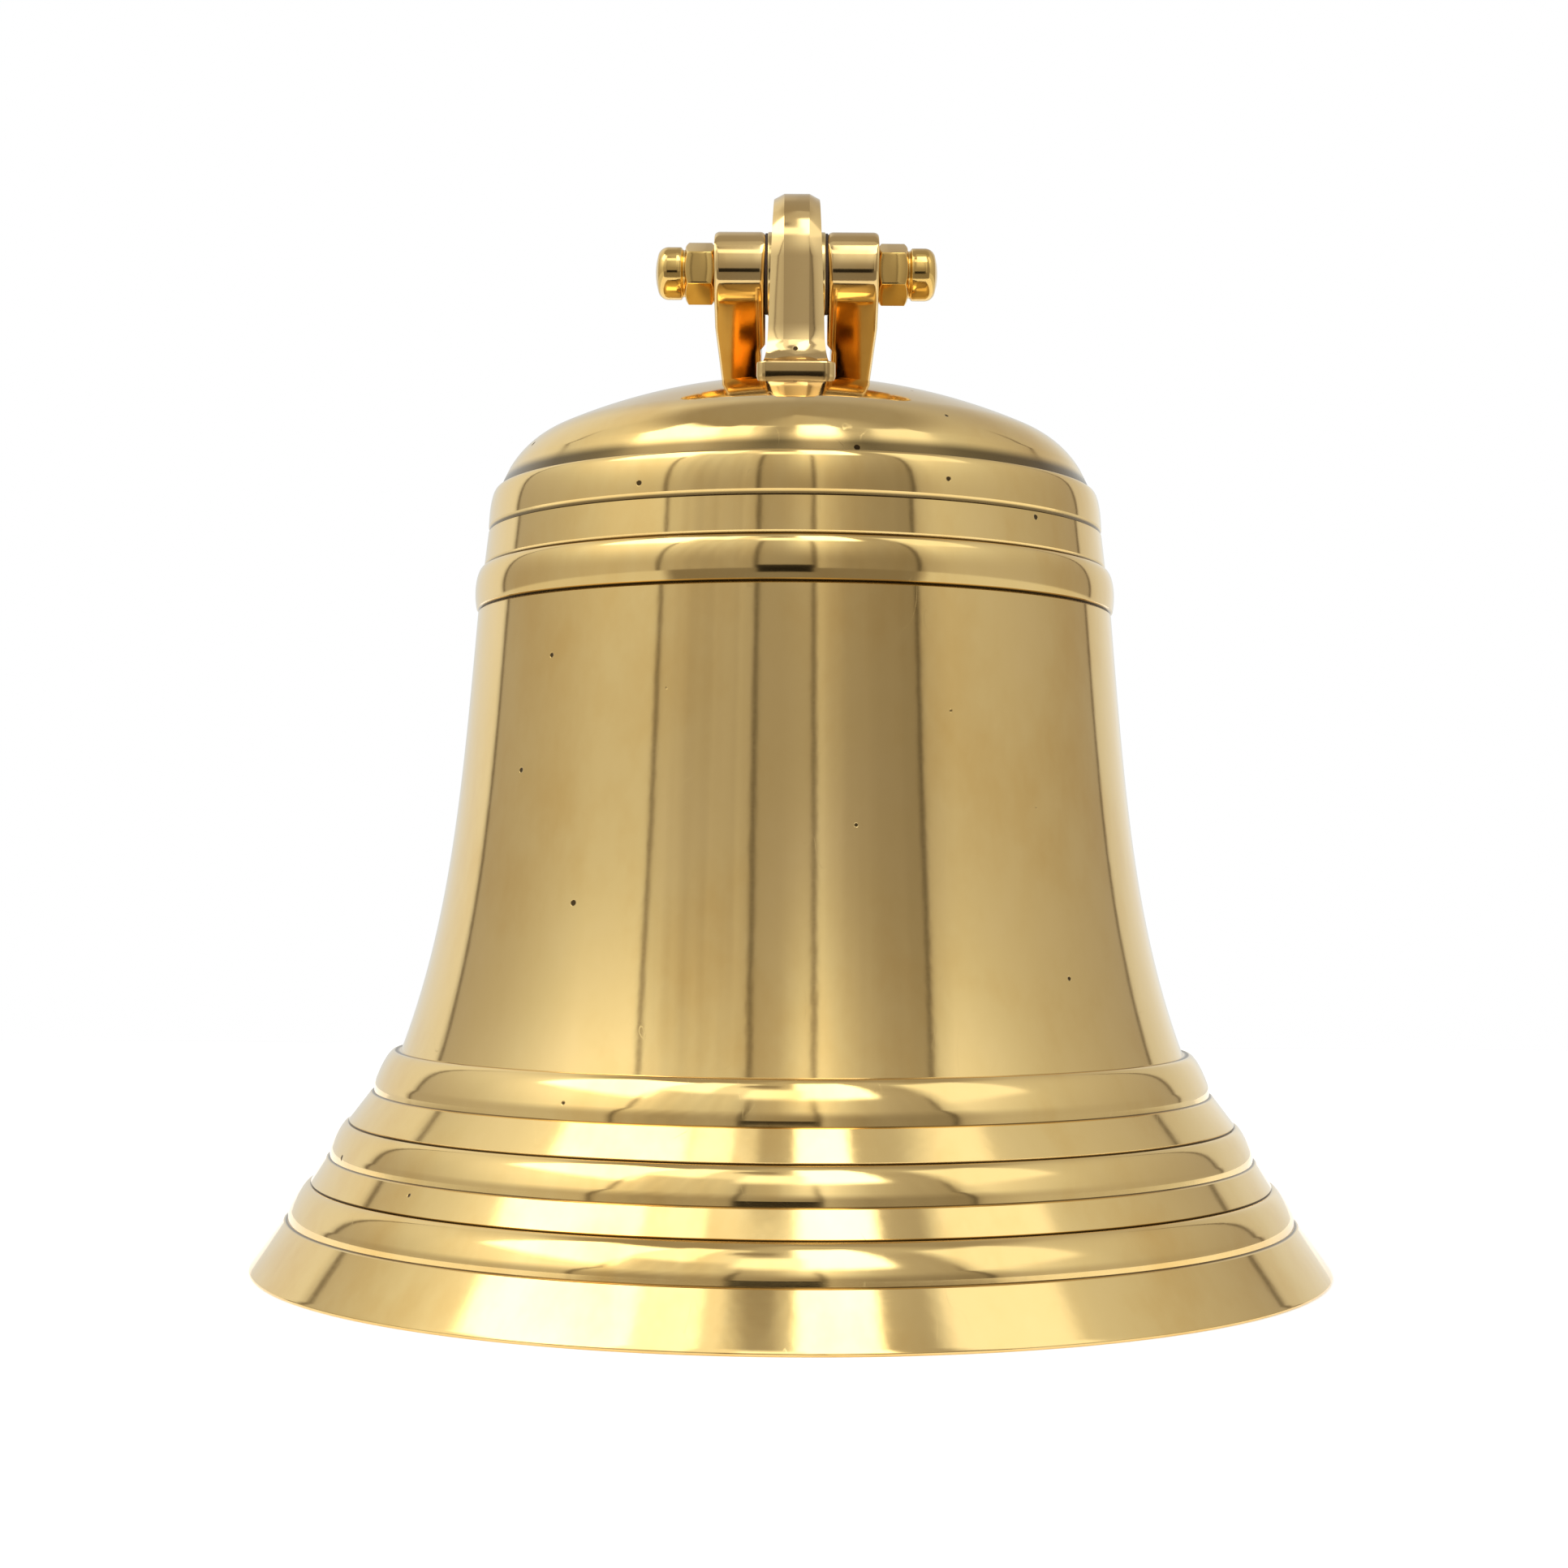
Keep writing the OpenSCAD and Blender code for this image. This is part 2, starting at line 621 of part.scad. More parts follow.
module pivot_sleeve() {
    color(turned) translate([-sleeve_l / 2, 0, pivot_z]) along_x()
        ring(sleeve_r, pivot_hole_r, sleeve_l);
}

module side_washer(x) {
    color(fibre) translate([x, 0, pivot_z]) along_x()
        ring(sleeve_r - 0.3, pivot_hole_r, side_washer_t);
}

module side_washer_left() {
    side_washer(-eye_in);
}

module side_washer_right() {
    side_washer(sleeve_l / 2);
}

bell_body();
crown_loop();
crown_stud();
head_gasket();
head_washer();
crown_nut();
lock_nut();
clapper_hanger();
clapper_pin();
pin_washer();
split_pin();
clapper_eye();
rod_nut();
clapper_rod();
clapper_ball();
clapper_tail();
hanging_shackle();
pivot_stud();
acorn_nut_left();
acorn_nut_right();
pivot_sleeve();
side_washer_left();
side_washer_right();
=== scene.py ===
import json
import math

import bmesh
import bpy
from mathutils import Matrix, Vector


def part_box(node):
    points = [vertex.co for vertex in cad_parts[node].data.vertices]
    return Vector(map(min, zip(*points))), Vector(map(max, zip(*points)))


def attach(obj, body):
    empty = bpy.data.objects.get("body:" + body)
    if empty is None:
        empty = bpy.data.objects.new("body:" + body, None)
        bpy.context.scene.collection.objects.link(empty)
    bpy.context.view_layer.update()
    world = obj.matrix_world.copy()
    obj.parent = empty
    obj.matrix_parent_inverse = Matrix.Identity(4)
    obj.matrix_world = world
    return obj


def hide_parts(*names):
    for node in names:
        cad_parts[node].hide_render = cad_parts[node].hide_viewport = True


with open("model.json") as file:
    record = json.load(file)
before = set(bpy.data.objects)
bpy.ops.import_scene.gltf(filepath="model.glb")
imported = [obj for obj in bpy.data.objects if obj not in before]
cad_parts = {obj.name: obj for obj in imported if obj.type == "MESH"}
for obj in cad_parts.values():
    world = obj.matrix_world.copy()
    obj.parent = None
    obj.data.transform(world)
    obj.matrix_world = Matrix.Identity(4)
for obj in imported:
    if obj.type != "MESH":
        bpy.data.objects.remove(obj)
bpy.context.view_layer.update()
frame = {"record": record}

# ---- Bell body ----
# The bell: one brass casting, turned all over on a lathe and buffed to a mirror outside. Three
# plain bands and three beads ring its skirt, and a bead, a frieze and a bead ring its shoulder.
# The inside is left as the tool cut it, with a flat seat for the fastenings under the head.
MM = 0.001
lip_r = 127.0
band_h = (11.9, 6.2, 7.1)
band_lean = (8.5, 4.0, 5.5)
bead_h = (8.0, 7.7, 9.3)
bead_lean = (5.5, 4.4, 5.1)
bead_fullness = 0.45
waist_ledge = 1.6
waist_lean = 0.49
waist_curl = 3.5
collar_under = 40.0
shoulder_r, shoulder_z = 71.4, 182.5
frieze_r, frieze_z = 73.3, 172.6
collar_r, collar_z = 74.3, 163.9
collar_throw = 2.0
waist_z = 153.8
crown_z, crown_r = 209.6, 138.0
knuckle_r = 22.0
knuckle_centre = (49.44, 176.54)
knuckle_from, knuckle_to = 64.77, 30.0
groove_half = 0.5
edge_h = 1.3
lip_round = 0.5
wall_top, wall_gain = 4.5, 2.0
seat_z, seat_r = 201.6, 20.0
stud_hole_r = 6.2
bow_top_wall, bow_swell = 6.5, 3.0
bow_foot_in, bow_foot_z = 7.5, 0.6


def between(p, q, t):
    """The point at share t of the way from p to q."""
    return tuple(a + (b - a) * t for a, b in zip(p, q))


def arc(centre, radius, start, end, steps):
    """Points round a circle, from one angle to another in degrees."""
    angles = [math.radians(start + (end - start) * i / steps) for i in range(steps + 1)]
    return [(centre[0] + radius * math.cos(a), centre[1] + radius * math.sin(a)) for a in angles]


def bead(foot, top, fullness, steps=14):
    """A moulding between two edges: part flat chamfer, part quarter ellipse."""
    points = []
    for i in range(steps + 1):
        a = math.radians(90 * (1 - i / steps))
        chord = between(top, foot, 1 - math.cos(a))
        round_part = (top[0] + (foot[0] - top[0]) * math.sin(a),
                      foot[1] + (top[1] - foot[1]) * math.cos(a))
        points.append(between(chord, round_part, fullness))
    return points


def waist_radius(t):
    """Outside of the waist at share t of the way down."""
    top = collar_r + collar_throw * math.cos(math.radians(collar_under)) - 0.3
    return top + (skirt[6][0] - waist_ledge - top) * (
        waist_lean * t + (1 - waist_lean) * t ** waist_curl)


def grooved(points):
    """Cuts a V at the end of a run of outline points, where one moulding meets the next."""
    r, z = points[-1]
    back = Vector(points[-2]) - Vector(points[-1])
    edge = Vector(points[-1]) + back.normalized() * min(groove_half, 0.6 * back.length)
    return points[:-1] + [tuple(edge), (r - groove_half, z, "groove")]


skirt = [(lip_r, 0.0)]
for band, lean, height, inward in zip(band_h, band_lean, bead_h, bead_lean):
    skirt.append((skirt[-1][0] - lean, skirt[-1][1] + band))
    skirt.append((skirt[-1][0] - inward, skirt[-1][1] + height))
waist_foot = (skirt[6][0] - waist_ledge, skirt[6][1])
waist_heights = [waist_z + (waist_foot[1] - waist_z) * i / 44 for i in range(44, -1, -1)]


def waist_points(inset=lambda t: 0.0, mark=()):
    """The waist from its foot up, moved in by a wall that may change with height."""
    points = []
    for z in waist_heights:
        t = (waist_z - z) / (waist_z - waist_foot[1])
        points.append((waist_radius(t) - inset(t), z) + mark)
    return points


# Up the outside: each band is a plain cone, each bead starts and ends in a turned groove and
# has a short, nearly upright edge at its foot
outside = arc((lip_r - 1.94 * lip_round, lip_round), lip_round, -90, 36, 9)
for low in (1, 3, 5):
    plain = (0.12, 0.4, 0.8) if low == 1 else (0.07, 0.4, 0.8)
    outside += grooved([between(skirt[low - 1], skirt[low], t) for t in plain] + [skirt[low]])
    z = skirt[low][1]
    upper = bead(skirt[low], skirt[low + 1], bead_fullness)[1:-1]
    upper = [point for point in upper if point[1] > z + edge_h]
    r = upper[0][0]
    outside += [(r + 0.12, z), (r + 0.05, z + 0.75 * edge_h)] + upper + [skirt[low + 1]]
    outside = outside[:-2] + grooved(outside[-2:])
outside += waist_points()
outside = outside[:-2] + grooved(outside[-2:])
half_bead = (collar_z - waist_z) / (1 + math.sin(math.radians(collar_under)))
torus = arc((0, 0), 1, -collar_under, 90, 24)
outside += [(collar_r + collar_throw * c, collar_z - half_bead + half_bead * s) for c, s in torus[1:]]
outside = outside[:-2] + grooved(outside[-2:])
outside += [between((collar_r, collar_z), (frieze_r, frieze_z), t) for t in (0.1, 0.5, 0.9)]
outside += grooved([between((collar_r, collar_z), (frieze_r, frieze_z), 0.94), (frieze_r, frieze_z)])
outside += bead((frieze_r, frieze_z), (shoulder_r, shoulder_z), 1.0)[1:]
outside = outside[:-2] + grooved(outside[-2:])
outside += arc(knuckle_centre, knuckle_r, knuckle_to, knuckle_from, 22)
outside += arc((0, crown_z - crown_r), crown_r, knuckle_from, 90 - 2.6, 26)[1:]

# Down the inside: seat, domed head, waist and sound bow, back to the flat the bell stands on
head_r = shoulder_r - wall_top
seat_turn = math.degrees(math.acos(seat_r / head_r))
head_rise = (seat_z - frieze_z) / math.sqrt(1 - (seat_r / head_r) ** 2)
inside = [(stud_hole_r, crown_z - 0.4), (stud_hole_r, seat_z + 0.3), (stud_hole_r + 0.3, seat_z)]
inside = [point + ("inside",) for point in inside + [(seat_r - 0.5, seat_z)]]
inside += [(head_r * c, frieze_z + head_rise * s, "inside")
           for c, s in arc((0, 0), 1, seat_turn, 0, 18)]
inside += waist_points(lambda t: wall_top + wall_gain * t * t, ("inside",))[::-1]
bow_top = (waist_foot[0] - bow_top_wall, waist_foot[1])
bow_foot = (lip_r - bow_foot_in, bow_foot_z)
for i in range(1, 17):
    t = i / 16
    r, z = between(bow_top, bow_foot, t)
    inside.append((r - bow_swell * 4 * t * (1 - t), z, "inside"))
inside.append((bow_foot[0] + 0.5, 0.0, "inside"))


class Wire:
    """The output of a node, which can be used in ordinary sums to add Math nodes."""

    def __init__(self, graph, socket):
        self.graph = graph
        self.socket = socket

    def of(self, name):
        """Another output of the same node."""
        return Wire(self.graph, self.graph.socket(self.socket.node.outputs, name))

    def math(self, operation, *others, clamp=False):
        inputs = dict(enumerate((self,) + others))
        return self.graph.make("ShaderNodeMath", {"operation": operation, "use_clamp": clamp}, inputs)

    def swapped(self, operation, other):
        return self.graph.make("ShaderNodeMath", {"operation": operation}, {0: other, 1: self})

    def __add__(self, other):
        return self.math("ADD", other)

    def __sub__(self, other):
        return self.math("SUBTRACT", other)

    def __mul__(self, other):
        return self.math("MULTIPLY", other)

    def __truediv__(self, other):
        return self.math("DIVIDE", other)

    def __rsub__(self, other):
        return self.swapped("SUBTRACT", other)

    def __rtruediv__(self, other):
        return self.swapped("DIVIDE", other)

    def __mod__(self, other):
        return self.math("FLOORED_MODULO", other)

    def __pow__(self, other):
        return self.math("POWER", other)

    __radd__ = __add__
    __rmul__ = __mul__

    def above(self, edge, width):
        """0 below the edge and 1 above it, with a soft step of that width."""
        return self.graph.make("ShaderNodeMapRange", {"interpolation_type": "SMOOTHSTEP"}, {
            "Value": self, "From Min": edge - width / 2, "From Max": edge + width / 2})

    def within(self, low, high, width):
        """1 between two values and 0 outside them, with soft steps."""
        return self.above(low, width) * (1 - self.above(high, width))

    def near(self, centre, width):
        """1 at a value, falling to 0 at that distance either side of it."""
        return 1 - self.math("SUBTRACT", centre).math("ABSOLUTE").above(width / 2, width)


class Graph:
    """A node tree that is filled in by calls."""

    def __init__(self, tree):
        self.tree = tree

    def socket(self, sockets, key):
        if isinstance(key, int):
            return sockets[key]
        return next(s for s in sockets if s.name == key and s.enabled)

    def make(self, kind, settings=None, sockets=None):
        """Adds a node: its settings are set first, then its sockets' values or links."""
        node = self.tree.nodes.new(kind)
        for key, value in (settings or {}).items():
            if key == "stops":
                self.set_stops(node.color_ramp, value)
            else:
                setattr(node, key, value)
        for key, value in (sockets or {}).items():
            target = self.socket(node.inputs, key)
            if isinstance(value, Wire):
                self.tree.links.new(value.socket, target)
            else:
                target.default_value = value
        outputs = [s for s in node.outputs if s.enabled]
        return Wire(self, outputs[0]) if outputs else None

    def set_stops(self, ramp, stops):
        for index, (position, value) in enumerate(stops):
            if index < 2:
                element = ramp.elements[index]
                element.position = position
            else:
                element = ramp.elements.new(position)
            element.color = (*value, 1) if isinstance(value, tuple) else (value, value, value, 1)


MARKS = ("groove", "inside", "thread")


def lathe_tree():
    """Turns an outline of radius and height round Z, cuts threads where marked, keeps the marks."""
    tree = bpy.data.node_groups.new("turn on a lathe", "GeometryNodeTree")
    for name, kind in (("Outline", "Geometry"), ("Segments", "Int"), ("Thread pitch", "Float"),
                       ("Thread depth", "Float"), ("Finish", "Material")):
        tree.interface.new_socket(name, in_out="INPUT", socket_type="NodeSocket" + kind)
    tree.interface.new_socket("Turned", in_out="OUTPUT", socket_type="NodeSocketGeometry")
    g = Graph(tree)
    given = g.make("NodeGroupInput")
    outline, segments = given.of("Outline"), given.of("Segments")
    count = g.make("GeometryNodeAttributeDomainSize", {"component": "MESH"}, {"Geometry": outline})
    grid = g.make("GeometryNodeMeshGrid", {}, {
        "Size X": 1.0, "Size Y": 1.0, "Vertices X": segments + 1, "Vertices Y": count})
    index = g.make("GeometryNodeInputIndex")
    along = index % count
    turn = (index / count).math("FLOOR") * math.tau / segments

    def sampled(kind, value):
        return g.make("GeometryNodeSampleIndex", {"data_type": kind, "domain": "POINT"},
                      {"Geometry": outline, "Value": value, "Index": along})

    point = sampled("FLOAT_VECTOR", g.make("GeometryNodeInputPosition"))
    out = g.make("ShaderNodeSeparateXYZ", {}, {"Vector": point})
    height = out.of("Z")
    marks = {}
    for mark in MARKS:
        stored = g.make("GeometryNodeInputNamedAttribute", {"data_type": "FLOAT"}, {"Name": mark})
        marks[mark] = sampled("FLOAT", stored)
    lead = (height / given.of("Thread pitch") - turn / math.tau) % 1.0
    cut = (lead - 0.5).math("ABSOLUTE") * 2.0
    radius = out - marks["thread"] * given.of("Thread depth") * cut.above(0.5, 0.8)
    position = g.make("ShaderNodeCombineXYZ", {}, {
        "X": radius * turn.math("COSINE"), "Y": radius * turn.math("SINE"), "Z": height})
    shape = g.make("GeometryNodeSetPosition", {}, {"Geometry": grid, "Position": position})
    for mark in MARKS:
        shape = g.make("GeometryNodeStoreNamedAttribute", {"data_type": "FLOAT", "domain": "POINT"},
                       {"Geometry": shape, "Name": mark, "Value": marks[mark]})
    shape = g.make("GeometryNodeMergeByDistance", {}, {"Geometry": shape, "Distance": 2e-6})
    bend = g.make("GeometryNodeInputMeshEdgeAngle")
    shape = g.make("GeometryNodeSetShadeSmooth", {"domain": "FACE"},
                   {"Geometry": shape, "Shade Smooth": True})
    shape = g.make("GeometryNodeSetShadeSmooth", {"domain": "EDGE"},
                   {"Geometry": shape, "Selection": bend.math("GREATER_THAN", math.radians(24)),
                    "Shade Smooth": False})
    shape = g.make("GeometryNodeRealizeInstances", {}, {"Geometry": shape})
    shape = g.make("GeometryNodeSetMaterial", {}, {"Geometry": shape, "Material": given.of("Finish")})
    g.make("NodeGroupOutput", {}, {"Turned": shape})
    return tree


LATHE = lathe_tree()


def new_piece(name, mesh):
    piece = bpy.data.objects.new(name, mesh)
    bpy.context.scene.collection.objects.link(piece)
    return piece


def finished(piece):
    """Turns what the modifiers make into the piece's own plain mesh."""
    bpy.context.view_layer.update()
    shown = piece.evaluated_get(bpy.context.evaluated_depsgraph_get())
    mesh = bpy.data.meshes.new_from_object(shown)
    piece.modifiers.clear()
    piece.data = mesh
    return piece


def turned(name, outline, finish, segments=96, pitch=1.25):
    """A turned piece from an outline in millimetres, with an optional mark on each point."""
    mesh = bpy.data.meshes.new(name)
    points = [(p[0] * MM, 0.0, p[1] * MM) for p in outline]
    mesh.from_pydata(points, [(i, i + 1) for i in range(len(points) - 1)], [])
    for mark in MARKS:
        layer = mesh.attributes.new(mark, "FLOAT", "POINT")
        layer.data.foreach_set("value", [float(mark in p[2:]) for p in outline])
    piece = new_piece(name, mesh)
    modifier = piece.modifiers.new("lathe", "NODES")
    modifier.node_group = LATHE
    values = {"Segments": segments, "Thread pitch": pitch * MM, "Thread depth": 0.61 * pitch * MM,
              "Finish": finish}
    for item in LATHE.interface.items_tree:
        if item.name in values:
            modifier[item.identifier] = values[item.name]
    return finished(piece)


def fit(piece, body, finish_slot, *nodes):
    """Hides the CAD nodes a piece stands for and puts it on its body; finish_slot is not used."""
    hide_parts(*nodes)
    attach(piece, body)


def brass(name, colour, roughness, line_scale, line_depth, sway=0.0, pitted=0.0, inside=None):
    """Brass with clouds of slight tarnish, tool or buffing lines, hair scratches and pits."""
    material = bpy.data.materials.new(name)
    material.use_nodes = True
    g = Graph(material.node_tree)
    g.tree.nodes.clear()
    place = g.make("ShaderNodeTexCoord").of("Object")

    def noise(stretch, detail=3.0, rough=0.5, source=place):
        moved = g.make("ShaderNodeVectorMath", {"operation": "MULTIPLY"}, {0: source, 1: stretch})
        return g.make("ShaderNodeTexNoise", {}, {
            "Vector": moved, "Scale": 1.0, "Detail": detail, "Roughness": rough})

    clouds = noise((21, 21, 15), 5.0, 0.62)
    smears = noise((90, 90, 34), 4.0, 0.6)
    lines = noise(line_scale, 2.0, 0.7)
    crossing = noise((140, 33, 58), 1.0, 0.4)
    hair = 1 - (crossing - 0.5).math("ABSOLUTE").above(0.0018, 0.003)
    hair = hair * smears.above(0.6, 0.12)
    cells = g.make("ShaderNodeVectorMath", {"operation": "MULTIPLY"}, {0: place, 1: (150, 150, 150)})
    spots = g.make("ShaderNodeTexVoronoi", {"feature": "F1"}, {"Vector": cells, "Scale": 1.0})
    chance = g.make("ShaderNodeSeparateColor", {}, {"Color": spots.of("Color")})
    pits = (1 - spots.above(0.04 + 0.06 * pitted, 0.03)) * chance.above(1 - 0.06 * pitted, 0.001)
    groove = g.make("ShaderNodeAttribute", {"attribute_name": "groove"}).of("Fac")

    deep = tuple(c * s for c, s in zip(colour, (0.90, 0.80, 0.62)))
    pale = tuple(min(1.0, c * s) for c, s in zip(colour, (1.05, 1.07, 1.18)))
    tone = g.make("ShaderNodeValToRGB", {"stops": [(0.28, deep), (0.52, colour), (0.78, pale)]},
                  {"Fac": clouds * 0.75 + smears * 0.25})
    # Painted shade with polish residue: the grooves are painted near-black for the shade in their V,
    # and the pits take the same dark colour.
    groove_shade_and_residue = g.make("ShaderNodeMix", {"data_type": "RGBA"}, {
        "Factor": (groove.above(0.45, 0.5) * 0.85 + pits * 0.95).math("MINIMUM", 1.0),
        "A": tone, "B": (0.045, 0.026, 0.010, 1)})
    rough = roughness + clouds * 0.035 + lines * 0.03 + hair * 0.16 + pits * 0.5 + groove * 0.2
    height = clouds * sway + lines * line_depth - hair * 1.2e-6 - pits * 1.2e-4
    shade = groove_shade_and_residue
    if inside is not None:
        bored = g.make("ShaderNodeAttribute", {"attribute_name": "inside"}).of("Fac")
        rings = noise((6, 6, 1900), 1.0, 0.5)
        oxide = noise((40, 40, 26), 6.0, 0.66)
        dull = g.make("ShaderNodeMix", {"data_type": "RGBA"},
                      {"Factor": oxide.above(0.5, 0.35), "A": (*inside, 1),
                       "B": (*(c * 0.55 for c in inside), 1)})
        shade = g.make("ShaderNodeMix", {"data_type": "RGBA"},
                       {"Factor": bored, "A": groove_shade_and_residue, "B": dull})
        rough = rough + bored * (0.22 + oxide * 0.2)
        height = height + bored * (rings * 1.6e-5 + oxide * 3e-5)
    bump = g.make("ShaderNodeBump", {}, {"Strength": 1.0, "Distance": 1.0, "Height": height})
    surface = g.make("ShaderNodeBsdfPrincipled", {}, {
        "Base Color": shade, "Metallic": 1.0, "Roughness": rough, "Normal": bump})
    g.make("ShaderNodeOutputMaterial", {}, {"Surface": surface})
    return material


mirror_brass = brass("mirror polished brass", (0.83, 0.585, 0.235), 0.045, (14, 14, 1500), 1.2e-7,
                     sway=6e-5, pitted=1.0, inside=(0.62, 0.42, 0.18))
bell = turned("bell_shell", outside + inside + outside[:1], mirror_brass, segments=224)
fit(bell, "bell", "polished_brass", "bell_body")


# ---- Crown loop ----
# A cast loop with a collared foot, filed to a flat rim between two bevels and polished. The
# foot is scraped to sit on the head, and the crown stud screws up into it from inside.
def box_mm(node):
    low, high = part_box(node)
    return low / MM, high / MM


loop_low, loop_high = box_mm("crown_loop")
sleeve_low, sleeve_high = box_mm("pivot_sleeve")
pivot_z = (sleeve_low.z + sleeve_high.z) / 2
loop_r = loop_high.z - pivot_z
eye_bore_r = (sleeve_high.z - sleeve_low.z) / 2 + 0.05
rim_flat = 3.0
bevel_in = 1.3
loop_top_half, loop_low_half = 5.4, 6.6
flare_top, foot_top = 221.0, 210.5
flare_half_w, flare_half_l = 8.45, 26.3
foot_half_w, foot_half_l = loop_high.x, loop_high.y
foot_corner = 2.2


def loop_half_width(z):
    share = (z - flare_top) / (loop_high.z - flare_top)
    return loop_low_half + (loop_top_half - loop_low_half) * share


def head_height(x, y):
    """Height of the head's outside under a point."""
    return crown_z - crown_r + math.sqrt(crown_r ** 2 - x * x - y * y)


def smooth(mesh, limit=34):
    """Smooth shading, with a crease at every edge that bends more than the limit."""
    mesh.polygons.foreach_set("use_smooth", [True] * len(mesh.polygons))
    bm = bmesh.new()
    bm.from_mesh(mesh)
    for edge in bm.edges:
        edge.smooth = len(edge.link_faces) == 2 and edge.calc_face_angle() < math.radians(limit)
    bm.to_mesh(mesh)
    bm.free()


def mesh_piece(name, bm, finish, limit=34):
    """A piece from a mesh in millimetres, with its doubles merged and its faces outwards."""
    bmesh.ops.remove_doubles(bm, verts=bm.verts, dist=1e-4)
    bmesh.ops.recalc_face_normals(bm, faces=bm.faces)
    bmesh.ops.scale(bm, vec=(MM, MM, MM), verts=bm.verts)
    mesh = bpy.data.meshes.new(name)
    bm.to_mesh(mesh)
    bm.free()
    mesh.materials.append(finish)
    smooth(mesh, limit)
    return new_piece(name, mesh)


def strip(bm, left, right, closed=False):
    """Faces between two rows of corners."""
    count = len(left)
    for i in range(count if closed else count - 1):
        j = (i + 1) % count
        bm.faces.new((left[i], left[j], right[j], right[i]))


def softened(piece, width, segments=3, limit=28):
    """Rounds the edges of a finished shape by a small radius."""
    modifier = piece.modifiers.new("soften", "BEVEL")
    modifier.width = width * MM
    modifier.segments = segments
    modifier.limit_method = "ANGLE"
    modifier.angle_limit = math.radians(limit)
    modifier.use_clamp_overlap = True
    finished(piece)
    smooth(piece.data, 40)
    return piece


def cut(piece, tool, operation="DIFFERENCE"):
    """Cuts a tool's shape from a piece, or adds it, and deletes the tool."""
    modifier = piece.modifiers.new("cut", "BOOLEAN")
    modifier.operation = operation
    modifier.solver = "EXACT"
    modifier.object = tool
    finished(piece)
    bpy.data.objects.remove(tool)
    return piece


def rod_between(bm, start, end, radius, segments=64):
    """A closed cylinder between two points."""
    start, end = Vector(start), Vector(end)
    turn = (end - start).to_track_quat("Z", "Y").to_matrix().to_4x4()
    place = Matrix.Translation((start + end) / 2) @ turn
    bmesh.ops.create_cone(bm, cap_ends=True, segments=segments, radius1=radius, radius2=radius,
                          depth=(end - start).length, matrix=place)


def loop_ring(bm):
    """The eye and its flare as one closed shape, with the bevels between rim and cheeks."""
    steps = 72
    rim = [(loop_r * math.cos(a), pivot_z + loop_r * math.sin(a))
           for a in (math.pi * i / steps for i in range(steps + 1))]
    inset = [(y * (loop_r - bevel_in) / loop_r, pivot_z + (z - pivot_z) * (loop_r - bevel_in) / loop_r)
             for y, z in rim]
    rim = [(loop_r, flare_top)] + rim + [(-loop_r, flare_top)]
    inset = [(loop_r - bevel_in, flare_top)] + inset + [(bevel_in - loop_r, flare_top)]
    cheeks = {}
    for side in (-1, 1):
        flat = [bm.verts.new((side * rim_flat, y, z)) for y, z in rim]
        cheek = [bm.verts.new((side * loop_half_width(z), y, z)) for y, z in inset]
        bore = [bm.verts.new((side * loop_half_width(z), y, z))
                for y, z in arc((0, pivot_z), eye_bore_r, 0, 360 - 360 / steps, steps - 1)]
        border = [bm.edges.new((cheek[i], cheek[i - 1])) for i in range(len(cheek))]
        border += [bm.edges.new((bore[i], bore[i - 1])) for i in range(steps)]
        strip(bm, flat, cheek)
        bmesh.ops.triangle_fill(bm, edges=border, use_beauty=True)
        cheeks[side] = (flat, cheek, bore)
    strip(bm, cheeks[-1][0], cheeks[1][0])
    strip(bm, cheeks[-1][2], cheeks[1][2], closed=True)
    rows = []
    for i in range(13):
        a = math.radians(90 * i / 12)
        w = loop_low_half + (flare_half_w - loop_low_half) * (1 - math.cos(a))
        l = loop_r + (flare_half_l - loop_r) * (1 - math.cos(a))
        z = flare_top - (flare_top - foot_top + 0.2) * math.sin(a)
        corners = [(rim_flat, l), (w, l - bevel_in), (w, bevel_in - l), (rim_flat, -l),
                   (-rim_flat, -l), (-w, bevel_in - l), (-w, l - bevel_in), (-rim_flat, l)]
        rows.append([bm.verts.new((x, y, z)) for x, y in corners])
    for upper, lower in zip(rows, rows[1:]):
        strip(bm, upper, lower, closed=True)
    bm.faces.new(rows[-1])


def foot_plate(bm):
    """The collared foot: straight sides down to the curve of the head, a softened top edge."""
    outline = []
    for sx, sy, start in ((1, 1, 0), (-1, 1, 90), (-1, -1, 180), (1, -1, 270)):
        centre = (sx * (foot_half_w - foot_corner), sy * (foot_half_l - foot_corner))
        outline += arc(centre, foot_corner, start, start + 90, 6)
    points = []
    for p, q in zip(outline, outline[1:] + outline[:1]):
        pieces = max(1, round(math.dist(p, q) / 1.5))
        points += [between(p, q, i / pieces) for i in range(pieces)]
    lower = [bm.verts.new((x, y, head_height(x, y))) for x, y in points]
    last = lower
    for inward, z in ((0.0, foot_top - 0.5), (0.15, foot_top - 0.15), (0.5, foot_top)):
        row = [bm.verts.new((x * (1 - inward / foot_half_w), y * (1 - inward / foot_half_l), z))
               for x, y in points]
        strip(bm, last, row, closed=True)
        last = row
    bm.faces.new(last)
    for share in (0.66, 0.33):
        row = [bm.verts.new((x * share, y * share, head_height(x * share, y * share)))
               for x, y in points]
        strip(bm, row, lower, closed=True)
        lower = row
    bm.faces.new(lower)


